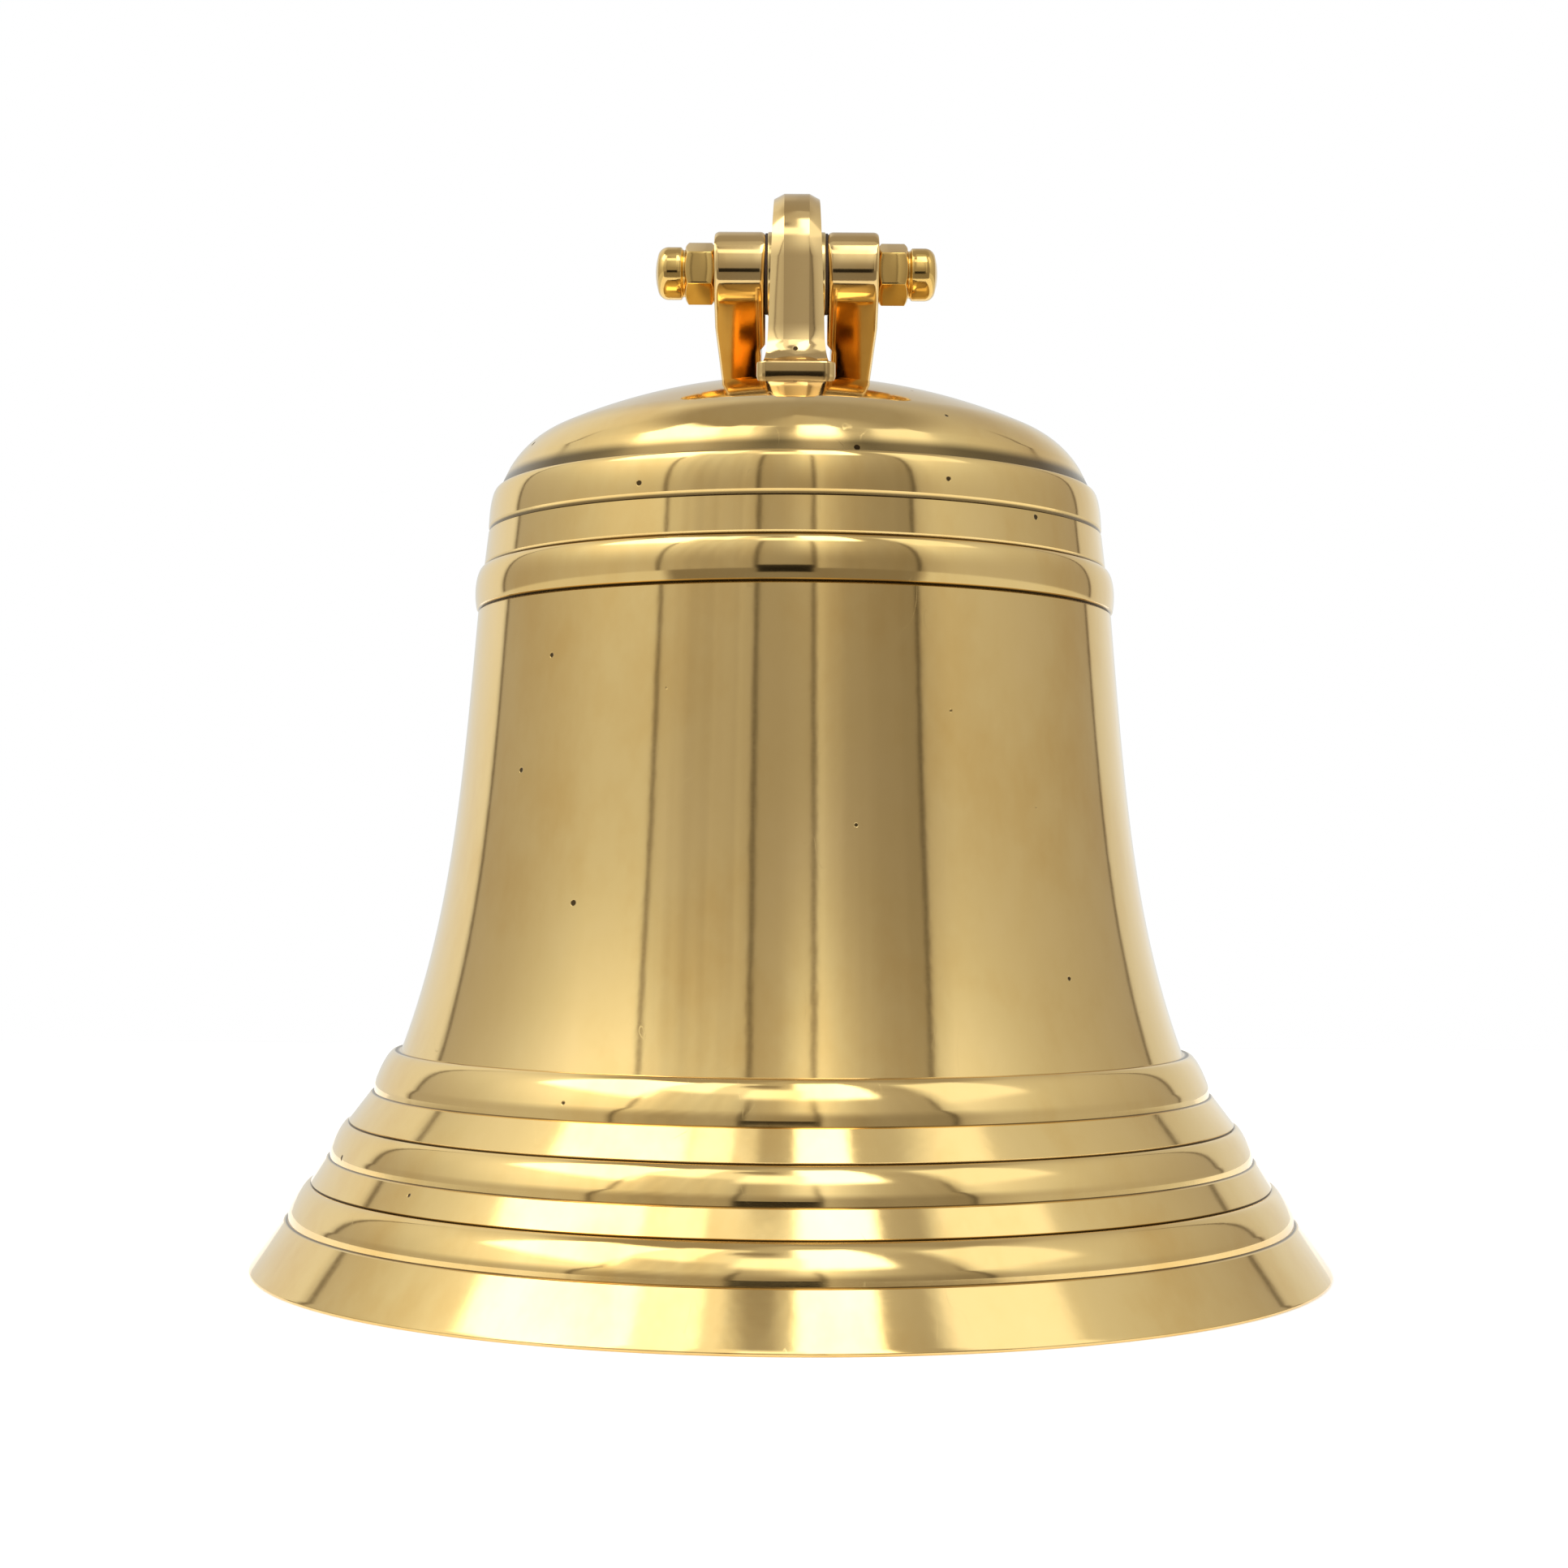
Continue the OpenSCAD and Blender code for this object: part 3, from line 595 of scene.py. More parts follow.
hand_brass = brass("hand polished cast brass", (0.79, 0.55, 0.235), 0.06, (120, 120, 160), 4e-7,
                   sway=4e-5, pitted=0.7)
shape = bmesh.new()
loop_ring(shape)
crown_loop = mesh_piece("crown_loop_casting", shape, hand_brass)
shape = bmesh.new()
foot_plate(shape)
foot = mesh_piece("loop_foot", shape, hand_brass)
cut(crown_loop, foot, "UNION")
stud_low, stud_high = box_mm("crown_stud")
shape = bmesh.new()
rod_between(shape, (0, 0, stud_low.z), (0, 0, stud_high.z), stud_high.x)
cut(crown_loop, mesh_piece("loop_tapping", shape, hand_brass))
softened(crown_loop, 0.35, limit=18)
fit(crown_loop, "bell", "polished_brass", "crown_loop")


# ---- Crown stud ----
# A brass stud, threaded from end to end. It joins the crown loop, the bell and the clapper's
# hanger in one line through the head.
def screw(radius, start, end, pitch):
    """Close-set points up a threaded length, which the lathe cuts into a thread."""
    rows = max(2, round((end - start) / pitch * 8))
    return [(radius, start + (end - start) * i / rows, "thread") for i in range(rows + 1)]


turned_brass = brass("turned brass", (0.80, 0.57, 0.235), 0.11, (30, 30, 1300), 6e-7, sway=1e-5)
crown_pitch = 1.75
stud_r = stud_high.x
outline = [(0, stud_low.z), (stud_r - 1.2, stud_low.z)]
outline += screw(stud_r, stud_low.z + 1.2, stud_high.z - 1.2, crown_pitch)
outline += [(stud_r - 1.2, stud_high.z), (0, stud_high.z)]
crown_stud = turned("threaded_crown_stud", outline, turned_brass, 64, crown_pitch)
fit(crown_stud, "bell", "turned_brass", "crown_stud")


# ---- Head gasket ----
# A ring of dark vulcanised fibre, punched from sheet. It keeps the nut from scoring the head
# and lets the bell ring.
def ring_outline(outer, inner, low, high, soft):
    """A washer's closed outline with small rounded edges, up the outside and down the bore."""
    return (arc((outer - soft, low + soft), soft, -90, 0, 4)
            + arc((outer - soft, high - soft), soft, 0, 90, 4)
            + arc((inner + soft, high - soft), soft, 90, 180, 4)
            + arc((inner + soft, low + soft), soft, 180, 270, 4)
            + [(outer - soft, low)])


def fibre(name, colour):
    """Dark fibre sheet: short matted threads and a dull sheen."""
    material = bpy.data.materials.new(name)
    material.use_nodes = True
    g = Graph(material.node_tree)
    g.tree.nodes.clear()
    place = g.make("ShaderNodeTexCoord").of("Object")
    matted = g.make("ShaderNodeTexNoise", {}, {
        "Vector": place, "Scale": 900.0, "Detail": 6.0, "Roughness": 0.7, "Distortion": 1.5})
    blotch = g.make("ShaderNodeTexNoise", {}, {"Vector": place, "Scale": 120.0, "Detail": 3.0})
    tone = g.make("ShaderNodeValToRGB", {"stops": [
        (0.3, tuple(c * 0.55 for c in colour)), (0.55, colour),
        (0.8, tuple(c * 1.6 for c in colour))]}, {"Fac": matted * 0.6 + blotch * 0.4})
    bump = g.make("ShaderNodeBump", {}, {
        "Strength": 0.6, "Distance": 1.0, "Height": matted * 6e-5})
    surface = g.make("ShaderNodeBsdfPrincipled", {}, {
        "Base Color": tone, "Roughness": 0.5 + matted * 0.25, "Normal": bump})
    g.make("ShaderNodeOutputMaterial", {}, {"Surface": surface})
    return material


dark_fibre = fibre("dark fibre", (0.060, 0.034, 0.024))
low, high = box_mm("head_gasket")
gasket = turned("fibre_gasket", ring_outline(high.x, stud_hole_r, low.z, high.z, 0.25), dark_fibre)
fit(gasket, "bell", "dark_fibre", "head_gasket")

# ---- Head washer ----
# A thick plain washer of turned brass that spreads the crown nut's pull over the gasket.
low, high = box_mm("head_washer")
head_washer = turned("plain_head_washer", ring_outline(high.x, stud_hole_r, low.z, high.z, 0.5),
                     turned_brass)
fit(head_washer, "bell", "turned_brass", "head_washer")


# ---- Crown nut and lock nut ----
# Two hexagon nuts on the crown stud, chamfered on both faces. The upper one pulls the loop
# down on the head, and the thinner one locks it.
def hexed(name, width, height, before, after, finish, steps=14):
    """A hexagon on Z from z = 0 up. before and after are outline points of radius and height
    that lead to its lower face and away from its upper face."""
    face_r = width / 2 * 0.965
    slope = math.tan(math.radians(30))
    shape = bmesh.new()
    columns = []
    for i in range(6 * steps):
        a = math.tau * i / (6 * steps)
        off_flat = (a + math.pi / 6) % (math.pi / 3) - math.pi / 6
        flat_r = width / 2 / math.cos(off_flat)
        drop = (flat_r - face_r) * slope
        outline = before + [(face_r, 0.0), (flat_r, drop), (flat_r, height - drop)]
        outline += [(face_r, height)] + after
        columns.append([shape.verts.new((r * math.cos(a), r * math.sin(a), z)) for r, z in outline])
    for i, column in enumerate(columns):
        strip(shape, column, columns[(i + 1) % len(columns)])
    bmesh.ops.dissolve_degenerate(shape, dist=1e-5, edges=shape.edges)
    return mesh_piece(name, shape, finish, 20)


def placed(piece, matrix):
    """Moves a piece's mesh to its place, in millimetres, and leaves its object at the origin."""
    moved = matrix.copy()
    moved.translation = moved.translation * MM
    piece.data.transform(moved)
    piece.data.update()
    return piece


def plain_nut(name, node, bore_r, finish):
    low, high = box_mm(node)
    width = (high.x - low.x) * math.cos(math.pi / 6)
    height = high.z - low.z
    lead = 0.7
    before = [(bore_r, height / 2), (bore_r, lead), (bore_r + lead, 0.0)]
    after = [(bore_r + lead, height), (bore_r, height - lead), (bore_r, height / 2)]
    nut = hexed(name, width, height, before, after, finish)
    placed(nut, Matrix.Translation((0, 0, low.z)) @ Matrix.Rotation(math.pi / 6, 4, "Z"))
    return softened(nut, 0.18, 2)


for node, name in (("crown_nut", "crown_hex_nut"), ("lock_nut", "crown_lock_nut")):
    fit(plain_nut(name, node, stud_r, turned_brass), "bell", "turned_brass", node)


# ---- Clapper hanger ----
# A cast fork screwed on the foot of the crown stud and jammed against the lock nut. Its two
# cheeks carry the clapper's pin.
def block(bm, low, high):
    """A box between two corners."""
    centre = (Vector(low) + Vector(high)) / 2
    size = Vector(high) - Vector(low)
    bmesh.ops.create_cube(bm, size=1, matrix=Matrix.Translation(centre) @ Matrix.Diagonal((*size, 1)))


def cast(name, body, holes, finish, voxel=0.35, rounds=6):
    """A casting: overlapping solids fused into one skin with soft edges, then bored."""
    bmesh.ops.scale(body, vec=(MM, MM, MM), verts=body.verts)
    mesh = bpy.data.meshes.new(name)
    body.to_mesh(mesh)
    body.free()
    piece = new_piece(name, mesh)
    fuse = piece.modifiers.new("fuse", "REMESH")
    fuse.mode = "VOXEL"
    fuse.voxel_size = voxel * MM
    relax = piece.modifiers.new("relax", "SMOOTH")
    relax.factor = 0.5
    relax.iterations = rounds
    finished(piece)
    piece.data.materials.clear()
    piece.data.materials.append(finish)
    cut(piece, mesh_piece(name + "_holes", holes, finish))
    smooth(piece.data, 40)
    return piece


cast_brass = brass("cast brass", (0.70, 0.46, 0.17), 0.26, (160, 160, 160), 5e-6, sway=3e-5,
                   pitted=1.6)
hang_low, hang_high = box_mm("clapper_hanger")
pin_low, pin_high = box_mm("clapper_pin")
pin_z = (pin_low.z + pin_high.z) / 2
pin_r = 3.0
cheek_r = pin_z - hang_low.z
cheek_out = hang_high.x
cheek_in = 4.5
boss_r, boss_h = 9.0, 14.0
boss_tapped = 11.0
bridge_t = 5.0
bridge_z = hang_high.z - boss_h
bridge_top = bridge_z + bridge_t
pin_bore_r = pin_r + 0.05
shape = bmesh.new()
rod_between(shape, (0, 0, bridge_z), (0, 0, hang_high.z), boss_r)
block(shape, (-cheek_out, -cheek_r, bridge_z), (cheek_out, cheek_r, bridge_top))
for side in (-1, 1):
    inner, outer = sorted((side * cheek_in, side * cheek_out))
    block(shape, (inner, -cheek_r, pin_z), (outer, cheek_r, bridge_top))
    rod_between(shape, (inner, 0, pin_z), (outer, 0, pin_z), cheek_r)
holes = bmesh.new()
rod_between(holes, (-20, 0, pin_z), (20, 0, pin_z), pin_bore_r)
rod_between(holes, (0, 0, hang_high.z - boss_tapped), (0, 0, hang_high.z + 5), stud_r)
hanger = cast("clapper_fork", shape, holes, cast_brass)
fit(hanger, "bell", "cast_brass", "clapper_hanger")

# ---- Clapper pin and its washer ----
# A turned pin with a low domed head. It passes through both cheeks and is kept in by a washer
# and a split pin.
along_x = Matrix.Rotation(math.pi / 2, 4, "Y")
head_r, head_t = 5.0, 2.5
split_low, split_high = box_mm("split_pin")
split_x = (split_low.x + split_high.x) / 2
outline = [(0, pin_low.x)] + arc((head_r - 1.2, pin_low.x + 1.2), 1.2, -90, 0, 6)
outline += [(head_r, pin_low.x + head_t - 0.2), (head_r - 0.2, pin_low.x + head_t)]
outline += [(pin_r + 0.2, pin_low.x + head_t), (pin_r, pin_low.x + head_t + 0.2)]
outline += [(pin_r, pin_high.x - 0.8), (pin_r - 0.8, pin_high.x), (0, pin_high.x)]
pin = turned("clapper_swing_pin", outline, turned_brass, 72)
placed(pin, Matrix.Translation((0, 0, pin_z)) @ along_x)
shape = bmesh.new()
rod_between(shape, (split_x, 0, pin_z - 8), (split_x, 0, pin_z + 8), 0.9, 32)
cut(pin, mesh_piece("pin_drilling", shape, turned_brass))
smooth(pin.data, 34)
fit(pin, "bell", "turned_brass", "clapper_pin")
low, high = box_mm("pin_washer")
washer = turned("pin_side_washer", ring_outline(high.y, pin_bore_r, low.x, high.x, 0.2),
                turned_brass)
placed(washer, Matrix.Translation((0, 0, pin_z)) @ along_x)
fit(washer, "bell", "turned_brass", "pin_washer")


# ---- Split pin ----
# A cotter of brass wire, folded into an eye. Its two legs pass through the pin and
# are spread a little at their ends.
def wire_tree():
    """Runs wire of a round section along a path of corners."""
    tree = bpy.data.node_groups.new("bend wire", "GeometryNodeTree")
    for name, kind in (("Path", "Geometry"), ("Wire radius", "Float"), ("Finish", "Material")):
        tree.interface.new_socket(name, in_out="INPUT", socket_type="NodeSocket" + kind)
    tree.interface.new_socket("Wire", in_out="OUTPUT", socket_type="NodeSocketGeometry")
    g = Graph(tree)
    given = g.make("NodeGroupInput")
    path = g.make("GeometryNodeMeshToCurve", {}, {"Mesh": given.of("Path")})
    section = g.make("GeometryNodeCurvePrimitiveCircle", {"mode": "RADIUS"}, {
        "Resolution": 16, "Radius": given.of("Wire radius")})
    swept = g.make("GeometryNodeCurveToMesh", {}, {
        "Curve": path, "Profile Curve": section, "Fill Caps": True})
    swept = g.make("GeometryNodeSetShadeSmooth", {"domain": "FACE"},
                   {"Geometry": swept, "Shade Smooth": True})
    swept = g.make("GeometryNodeRealizeInstances", {}, {"Geometry": swept})
    swept = g.make("GeometryNodeSetMaterial", {}, {"Geometry": swept, "Material": given.of("Finish")})
    g.make("NodeGroupOutput", {}, {"Wire": swept})
    return tree


wire_r = 0.42
leg_y = 0.43
eye_r = 1.6
eye_z = split_high.z - eye_r - wire_r
legs = [(1.5, split_low.z + 0.4), (leg_y, split_low.z + 3.0), (leg_y, eye_z - 2.0)]
wire_path = legs + arc((0, eye_z), eye_r, -60, 240, 20) + [(-y, z) for y, z in legs[::-1]]
mesh = bpy.data.meshes.new("split_pin_path")
mesh.from_pydata([(split_x * MM, y * MM, z * MM) for y, z in wire_path],
                 [(i, i + 1) for i in range(len(wire_path) - 1)], [])
split_pin = new_piece("brass_split_pin", mesh)
modifier = split_pin.modifiers.new("wire", "NODES")
modifier.node_group = wire_tree()
values = {"Wire radius": wire_r * MM, "Finish": turned_brass}
for item in modifier.node_group.interface.items_tree:
    if item.name in values:
        modifier[item.identifier] = values[item.name]
finished(split_pin)
fit(split_pin, "bell", "turned_brass", "split_pin")

# ---- Clapper eye ----
# The casting that the clapper hangs by: an eye that turns on the pin, above a socket bored
# and tapped for the rod.
eye_low, eye_high = box_mm("clapper_eye")
rod_r = 5.0
eye_half, eye_outer_r = 4.0, 7.0
neck_half = 6.0
socket_r, socket_h = 7.2, 15.0
socket_tapped = 12.0
socket_top = eye_low.z + socket_h
shape = bmesh.new()
rod_between(shape, (-eye_half, 0, pin_z), (eye_half, 0, pin_z), eye_outer_r)
block(shape, (-eye_half, -neck_half, socket_top - 1), (eye_half, neck_half, pin_z))
rod_between(shape, (0, 0, eye_low.z), (0, 0, socket_top), socket_r)
holes = bmesh.new()
rod_between(holes, (-20, 0, pin_z), (20, 0, pin_z), pin_bore_r)
rod_between(holes, (0, 0, eye_low.z - 5), (0, 0, eye_low.z + socket_tapped), rod_r)
clapper_eye = cast("clapper_top_eye", shape, holes, cast_brass)
fit(clapper_eye, "clapper", "cast_brass", "clapper_eye")

# ---- Rod nut ----
# A thin hexagon nut that locks the rod in the eye's socket.
fit(plain_nut("rod_lock_nut", "rod_nut", rod_r, turned_brass), "clapper", "turned_brass", "rod_nut")

# ---- Clapper rod ----
# A turned rod with a thread at each end and a shoulder that the ball is drawn up against.
rod_low, rod_high = box_mm("clapper_rod")
nut_low, nut_high = box_mm("rod_nut")
ball_low, ball_high = box_mm("clapper_ball")
shoulder_r, shoulder_t = rod_high.x, 3.0
rod_pitch = 1.5
outline = [(0, rod_low.z), (rod_r - 0.9, rod_low.z)]
outline += screw(rod_r, rod_low.z + 0.9, ball_low.z + 4, rod_pitch)
outline += [(rod_r - 0.5, ball_low.z + 4.8), (rod_r, ball_low.z + 5.6), (rod_r, ball_high.z)]
outline += arc((shoulder_r - 0.4, ball_high.z + 0.4), 0.4, -90, 0, 4)
outline += arc((shoulder_r - 1.0, ball_high.z + shoulder_t - 1.0), 1.0, 0, 90, 6)
outline += arc((rod_r + 1.5, ball_high.z + shoulder_t + 1.5), 1.5, 270, 180, 6)
outline += [(rod_r, nut_low.z - 8), (rod_r - 0.5, nut_low.z - 7.4)]
outline += screw(rod_r, nut_low.z - 7, rod_high.z - 0.9, rod_pitch)
outline += [(rod_r - 0.9, rod_high.z), (0, rod_high.z)]
clapper_rod = turned("clapper_turned_rod", outline, turned_brass, 64, rod_pitch)
fit(clapper_rod, "clapper", "turned_brass", "clapper_rod")

# ---- Clapper ball ----
# A heavy turned ball, bored through for the rod and faced flat where the shoulder and the
# tail bear on it.
ball_z = (ball_low.z + ball_high.z) / 2
ball_r = ball_high.x
flat_turn = math.degrees(math.asin((ball_high.z - ball_z) / ball_r))
outline = arc((0, ball_z), ball_r, -flat_turn, flat_turn, 60)
outline += [(rod_r + 0.4, ball_high.z), (rod_r, ball_high.z - 0.4)]
outline += [(rod_r, ball_low.z + 0.4), (rod_r + 0.4, ball_low.z), outline[0]]
clapper_ball = turned("clapper_turned_ball", outline, turned_brass, 120)
fit(clapper_ball, "clapper", "cast_brass", "clapper_ball")

# ---- Clapper tail ----
# A cast eye on a tapped socket, screwed up under the ball. A bell rope is spliced through it.
tail_low, tail_high = box_mm("clapper_tail")
tail_r, tail_half = 7.0, 3.0
tail_hole_r = 3.0
collar_h, tail_tapped = 6.5, 5.0
tail_z = tail_low.z + tail_r
shape = bmesh.new()
rod_between(shape, (0, 0, tail_high.z - collar_h), (0, 0, tail_high.z), 7.5)
rod_between(shape, (-tail_half, 0, tail_z), (tail_half, 0, tail_z), tail_r)
holes = bmesh.new()
rod_between(holes, (-12, 0, tail_z), (12, 0, tail_z), tail_hole_r)
rod_between(holes, (0, 0, tail_high.z - tail_tapped), (0, 0, tail_high.z + 5), rod_r)
clapper_tail = cast("clapper_tail_eye", shape, holes, cast_brass, voxel=0.25)
fit(clapper_tail, "clapper", "cast_brass", "clapper_tail")

# ---- Hanging shackle ----
# A cast and polished U with two round eyes. It hangs on the pivot stud and goes over the
# bracket's hook, and lies back on the head when the bell stands.
tilt = frame["record"]["mounts"][1]["axis"]
lie = Matrix.Rotation(-math.atan2(tilt[1], tilt[2]), 4, "X")
shackle_eye_r = 10.0
eye_out, eye_in = 19.75, 7.55
bow_reach, bow_bar_r = 50.5, 5.5
slot_r, bow_outer_r, bow_centre = 8.6, 18.0, 38.0
arm_step_y, arm_step = 16.0, 2.0
pivot_hole_r = 4.2
taper = math.asin((shackle_eye_r - bow_bar_r) / bow_reach)
edge_round = 1.3


def bar_half(y):
    """Half height of the shackle at a distance along its arms."""
    if y < shackle_eye_r * math.sin(taper):
        return math.sqrt(max(0.0, shackle_eye_r ** 2 - y * y))
    if y > bow_reach + bow_bar_r * math.sin(taper):
        return math.sqrt(max(0.0, bow_bar_r ** 2 - (y - bow_reach) ** 2))
    return (shackle_eye_r - y * math.sin(taper)) / math.cos(taper)


def arm_edges(y):
    """Inner and outer edge of an arm at a distance along it."""
    share = max(0.0, min(1.0, (y - shackle_eye_r) / (bow_centre - shackle_eye_r)))
    outer = eye_out + (bow_outer_r - eye_out) * share
    step = max(0.0, min(1.0, (y - arm_step_y) / arm_step))
    return eye_in + (slot_r - eye_in) * step, outer


stations = []
for i in range(25):
    y = -shackle_eye_r * math.cos(math.pi / 2 * i / 24)
    stations.append((y, *arm_edges(y)))
for y in (1.5, 3, 5, 7, 9, 9.7, 10, 10.5, 11, 12, 14, 16, 16.7, 17.3, 18, 20, 23, 27, 31, 34.5):
    stations.append((y, *arm_edges(y)))
pairs = [((inner, y), (outer, y)) for y, inner, outer in stations]
for i in range(49):
    a = math.pi * i / 48
    direction = Vector((math.cos(a), math.sin(a)))
    centre = Vector((0, bow_centre))
    pairs.append((tuple(centre + direction * slot_r), tuple(centre + direction * bow_outer_r)))
pairs += [((-inner, y), (-outer, y)) for y, inner, outer in stations[::-1]]


def section(inner, outer):
    """One cross-section of the bar: flat faces, rounded corners, height set by its place."""
    across = Vector(outer) - Vector(inner)
    width = across.length
    ring = []
    for side, flip in ((1, False), (-1, True)):
        profile = []
        for i in range(7):
            a = math.radians(90 * i / 6)
            profile.append((edge_round * (1 - math.cos(a)), edge_round * (1 - math.sin(a))))
        middle = [(width * s, 0.0) for s in (0.25, 0.4, 0.5, 0.6, 0.75)]
        right = [(width - d, drop) for d, drop in profile[::-1]]
        row = profile + middle + right
        for d, drop in (row[::-1] if flip else row):
            spot = Vector(inner) + across * (d / width)
            half = bar_half(spot.y)
            ring.append((spot.x, spot.y, side * (half - min(1.0, half / edge_round) * drop)))
    return ring


shape = bmesh.new()
rings = [[shape.verts.new(point) for point in section(inner, outer)] for inner, outer in pairs]
for first, second in zip(rings, rings[1:]):
    strip(shape, first, second, closed=True)
shackle = mesh_piece("hanging_shackle_casting", shape, hand_brass, 40)
shape = bmesh.new()
rod_between(shape, (-30, 0, 0), (30, 0, 0), pivot_hole_r)
cut(shackle, mesh_piece("shackle_drilling", shape, hand_brass))
smooth(shackle.data, 40)
placed(shackle, Matrix.Translation((0, 0, pivot_z)) @ lie)
fit(shackle, "hanger", "polished_brass", "hanging_shackle")

# ---- Pivot stud ----
# A plain turned stud with a thread at each end for the acorn nuts.
pivot_low, pivot_high = box_mm("pivot_stud")
pivot_r = (pivot_high.z - pivot_low.z) / 2
end, thread_from = pivot_high.x, eye_out - 2
outline = [(0, -end), (pivot_r - 0.8, -end)] + screw(pivot_r, 0.8 - end, -thread_from, 1.25)
outline += [(pivot_r, 1 - thread_from), (pivot_r, thread_from - 1)]
outline += screw(pivot_r, thread_from, end - 0.8, 1.25) + [(pivot_r - 0.8, end), (0, end)]
pivot_stud = turned("pivot_stud_rod", outline, turned_brass, 56)
placed(pivot_stud, Matrix.Translation((0, 0, pivot_z)) @ along_x)
fit(pivot_stud, "hanger", "turned_brass", "pivot_stud")

# ---- Acorn nuts ----
# Two cap nuts, turned and milled from hexagon bar and polished. A groove parts the hexagon
# from the rounded cap.
acorn_low, acorn_high = box_mm("acorn_nut_right")
hex_h = 7.0
cap_r, cap_h = 6.3, 7.25
cap_edge = 2.6
acorn_width = (acorn_high.z - acorn_low.z) * math.cos(math.pi / 6)
cap_top = hex_h + cap_h
acorn_before = [(0, 11), (pivot_r, 11), (pivot_r, 0.6), (pivot_r + 0.6, 0)]
acorn_after = [(cap_r - 0.5, hex_h), (cap_r - 0.75, hex_h + 0.35), (cap_r - 0.5, hex_h + 0.75)]
acorn_after += [(cap_r - 0.12, hex_h + 0.95), (cap_r - 0.02, hex_h + 1.2), (cap_r, hex_h + 2.2)]
acorn_after += [(cap_r, hex_h + 3.2)]
acorn_after += arc((cap_r - cap_edge, cap_top - 0.5 - cap_edge), cap_edge, 0, 72, 12)
acorn_after += [(2.6, cap_top - 0.18), (1.3, cap_top - 0.04), (0, cap_top)]
acorn_brass = brass("polished nut brass", (0.80, 0.53, 0.17), 0.07, (60, 60, 60), 3e-7, sway=1e-5)
for side, name in ((-1, "left"), (1, "right")):
    nut = hexed(f"acorn_cap_nut_{name}", acorn_width, hex_h, acorn_before, acorn_after, acorn_brass)
    turn = Matrix.Rotation(side * math.pi / 2, 4, "Y") @ Matrix.Rotation(math.pi / 6, 4, "Z")
    placed(nut, Matrix.Translation((side * eye_out, 0, pivot_z)) @ turn)
    softened(nut, 0.15, 2, 38)
    fit(nut, "hanger", "polished_brass", f"acorn_nut_{name}")

# ---- Pivot sleeve ----
# A turned sleeve on the pivot stud. It fills the loop's eye and carries the bell's weight.
sleeve_end = sleeve_high.x
bore = pivot_r + 0.2
sleeve_r = eye_bore_r - 0.05
sleeve = turned("pivot_bearing_sleeve", ring_outline(sleeve_r, bore, -sleeve_end, sleeve_end, 0.3),
                turned_brass)
placed(sleeve, Matrix.Translation((0, 0, pivot_z)) @ along_x)
fit(sleeve, "hanger", "turned_brass", "pivot_sleeve")

# ---- Side washers ----
# Thin fibre washers that keep the shackle's eyes from scoring the crown loop.
for name in ("side_washer_left", "side_washer_right"):
    low, high = box_mm(name)
    outline = ring_outline(high.y, bore, low.x, high.x, 0.12)
    side_washer = turned("fibre_" + name, outline, dark_fibre)
    placed(side_washer, Matrix.Translation((0, 0, pivot_z)) @ along_x)
    fit(side_washer, "hanger", "dark_fibre", name)


# ---- Floor ----
# A plain white sheet under the bell, big enough for its soft shadow.
def white_sheet():
    material = bpy.data.materials.new("white sheet")
    material.use_nodes = True
    g = Graph(material.node_tree)
    g.tree.nodes.clear()
    surface = g.make("ShaderNodeBsdfPrincipled", {}, {
        "Base Color": (0.86, 0.86, 0.86, 1), "Roughness": 0.9, "Specular IOR Level": 0.2,
        "Emission Color": (1, 1, 1, 1), "Emission Strength": 0.42})
    g.make("ShaderNodeOutputMaterial", {}, {"Surface": surface})
    return material


sheet_half, sheet_back = 600, 190
shape = bmesh.new()
bmesh.ops.create_grid(shape, x_segments=8, y_segments=8, size=sheet_half)
bmesh.ops.translate(shape, vec=(0, sheet_back, 0), verts=shape.verts)
floor = mesh_piece("floor", shape, white_sheet())

# ---- Studio light ----
# A square tent of white cloth round the bell, lit from outside by soft lamps above its left and
# front right. Its front has a slit for the lens, and its seams show as thin dark lines.
# Azimuth is measured from the front, to the right; each panel gives (azimuth, brightness), and
# each lamp its left, right, lower and upper edges and its brightness. The last is a dull patch.
SEAMS = (-124.5, -48.0, -13.2, 6.9, 43.6, 128.5)
LOW_PANELS = ((-180, 0.70), (-160, 0.82), (-128, 0.95), (-124, 0.50), (-100, 0.56), (-70, 0.68),
              (-50, 0.68), (-46, 0.56), (-30, 0.46), (-15, 0.47), (-12, 0.41), (6, 0.38),
              (8, 0.66), (11, 0.50), (18, 0.37), (42, 0.31), (46, 0.52), (56, 0.64), (80, 0.60),
              (105, 0.52), (127, 0.47), (131, 0.78), (160, 0.95), (180, 0.70))
HIGH_PANELS = ((-180, 0.55), (-155, 0.90), (-128, 0.95), (-120, 0.90), (-100, 1.05), (-80, 1.50),
               (-70, 1.75), (-49, 1.70), (-44, 1.25), (-36, 0.98), (-16, 0.86), (-11, 0.60),
               (-4, 0.72), (3, 1.25), (9, 1.45), (15, 1.05), (22, 0.75), (30, 0.56), (42, 0.48),
               (46, 1.00), (52, 1.30), (65, 1.10), (85, 0.80), (110, 0.68), (140, 0.58),
               (180, 0.50))
LAMPS = ((-88, -46, 41, 66, 3.6), (2, 28, 46, 73, 3.6), (-16, 4, 46, 57, 1.9),
         (-46, -27, 50, 70, 2.2), (-27, -16, 50, 70, 1.3), (48, 78, 38, 63, 1.4),
         (-21, -5, 60.5, 65.5, 0.34))
world = bpy.data.worlds.new("light tent")
bpy.context.scene.world = world
world.use_nodes = True
g = Graph(world.node_tree)
g.tree.nodes.clear()
direction = g.make("ShaderNodeTexCoord").of("Generated")
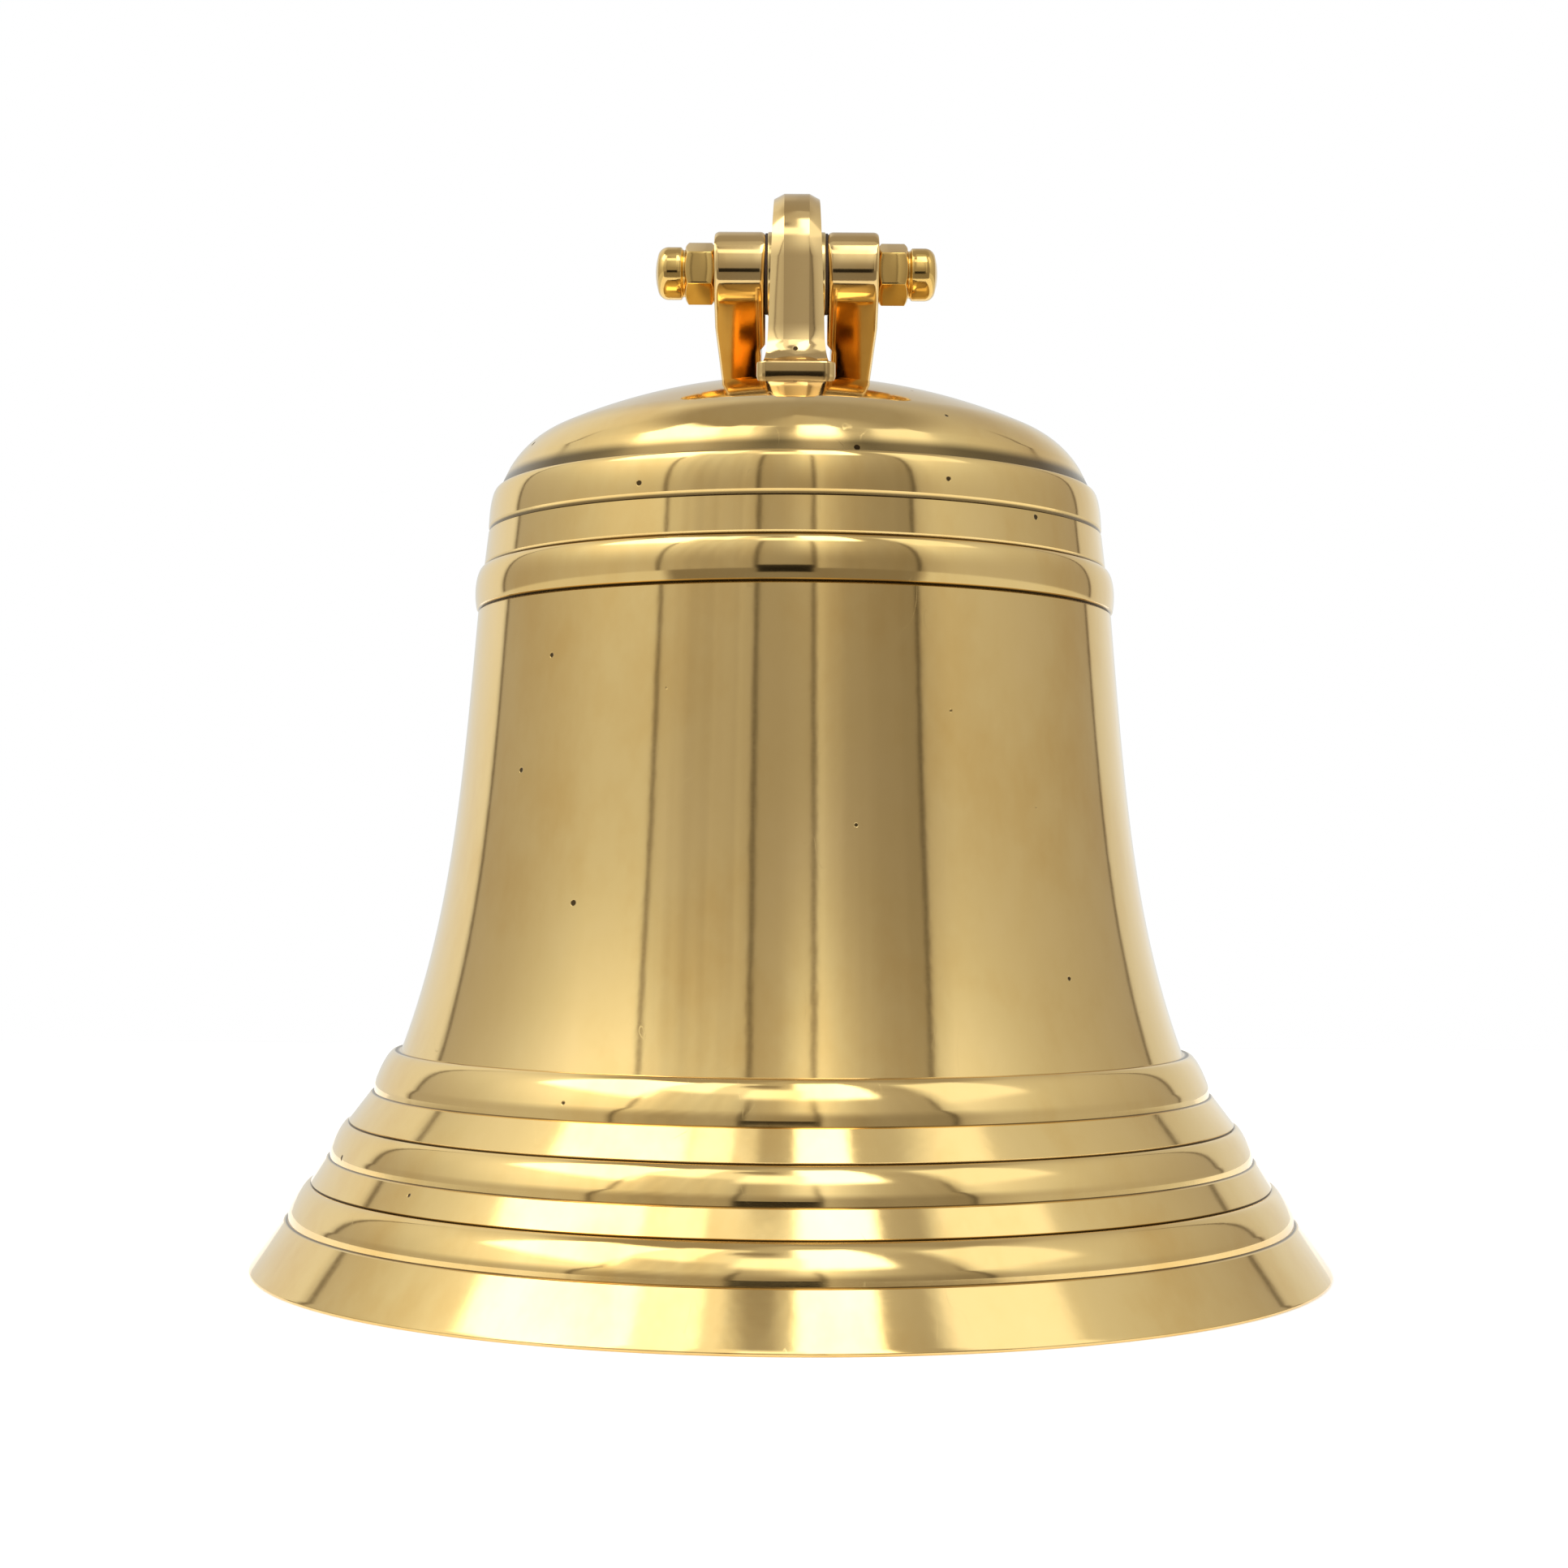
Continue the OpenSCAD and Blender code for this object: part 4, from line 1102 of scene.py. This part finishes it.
across = g.make("ShaderNodeSeparateXYZ", {}, {"Vector": direction})
azimuth = across.math("ARCTAN2", across.of("Y") * -1.0) * (180 / math.pi)
elevation = across.of("Z").math("ARCSINE") * (180 / math.pi)


def panels(stops):
    """Brightness round the tent, as a ramp of azimuth. It is stored at half its value."""
    around = azimuth / 360 + 0.5
    ramp = g.make("ShaderNodeValToRGB", {
        "stops": [(angle / 360 + 0.5, value / 2) for angle, value in stops]}, {"Fac": around})
    return g.make("ShaderNodeSeparateColor", {}, {"Color": ramp}) * 2.0


folds = g.make("ShaderNodeCombineXYZ", {}, {"X": azimuth * 0.34, "Y": elevation * 0.03})
folds = g.make("ShaderNodeTexNoise", {}, {"Vector": folds, "Scale": 1.0, "Detail": 2.0})
rise = elevation.above(27, 40)
light = panels(LOW_PANELS) * (1 - rise) + panels(HIGH_PANELS) * rise
cloth = azimuth.within(-46, -15, 3) * 0.45 + azimuth.within(9, 42, 4) * 0.16
light = light * (1 + (folds - 0.5) * cloth)
ceiling = elevation.above(61, 14)
light = light * (1 - ceiling) + ceiling * (0.42 + 0.25 * azimuth.within(-20, 60, 50))
for left, right, bottom, top, strength in LAMPS:
    lamp = azimuth.within(left, right, 5) * elevation.within(bottom, top, 5)
    light = light * (1 - lamp) + lamp * strength
for seam in SEAMS:
    light = light * (1 - 0.75 * azimuth.near(seam, 1.7) * (1 - elevation.above(44, 12)))
below = 1 - elevation.above(-1.5, 2)
front = azimuth.within(-45, 45, 6)
light = light * (1 - below) + below * (0.85 - 0.57 * front)
lens = azimuth.within(-13, 6.5, 2) * elevation.within(-8, 2.5, 1.5)
light = light * (1 - 0.93 * lens)
tint = g.make("ShaderNodeValToRGB", {"stops": [
    (0.1, (1.0, 0.90, 0.80)), (0.45, (1.0, 0.97, 0.93)), (0.8, (0.97, 1.0, 1.0))]}, {"Fac": light})
toned = g.make("ShaderNodeVectorMath", {"operation": "SCALE"}, {0: tint, "Scale": light})
seen = g.make("ShaderNodeLightPath").of("Is Camera Ray")
lit = g.make("ShaderNodeBackground", {}, {"Color": toned, "Strength": 1.0})
plain = g.make("ShaderNodeBackground", {}, {"Color": (1, 1, 1, 1), "Strength": 1.0})
sky = g.make("ShaderNodeMixShader", {}, {0: seen, 1: lit, 2: plain})
g.make("ShaderNodeOutputWorld", {}, {"Surface": sky})
bpy.context.scene.view_settings.view_transform = "Standard"

# ---- Camera ----
# Level with the middle of the waist, a little over half a metre from the bell's axis.
camera_data = bpy.data.cameras.new("camera")
camera_data.sensor_width = 36.0
camera_data.lens = 59.09
camera_data.clip_start = 0.01
camera = bpy.data.objects.new("camera", camera_data)
bpy.context.scene.collection.objects.link(camera)
look = Matrix.Rotation(math.radians(0.208), 4, "Z") @ Matrix.Rotation(math.radians(92.16), 4, "X")
camera.matrix_world = (Matrix.Translation((0, -0.6176, 0.0902)) @ look
                       @ Matrix.Rotation(math.radians(0.37), 4, "Z"))
bpy.context.scene.camera = camera
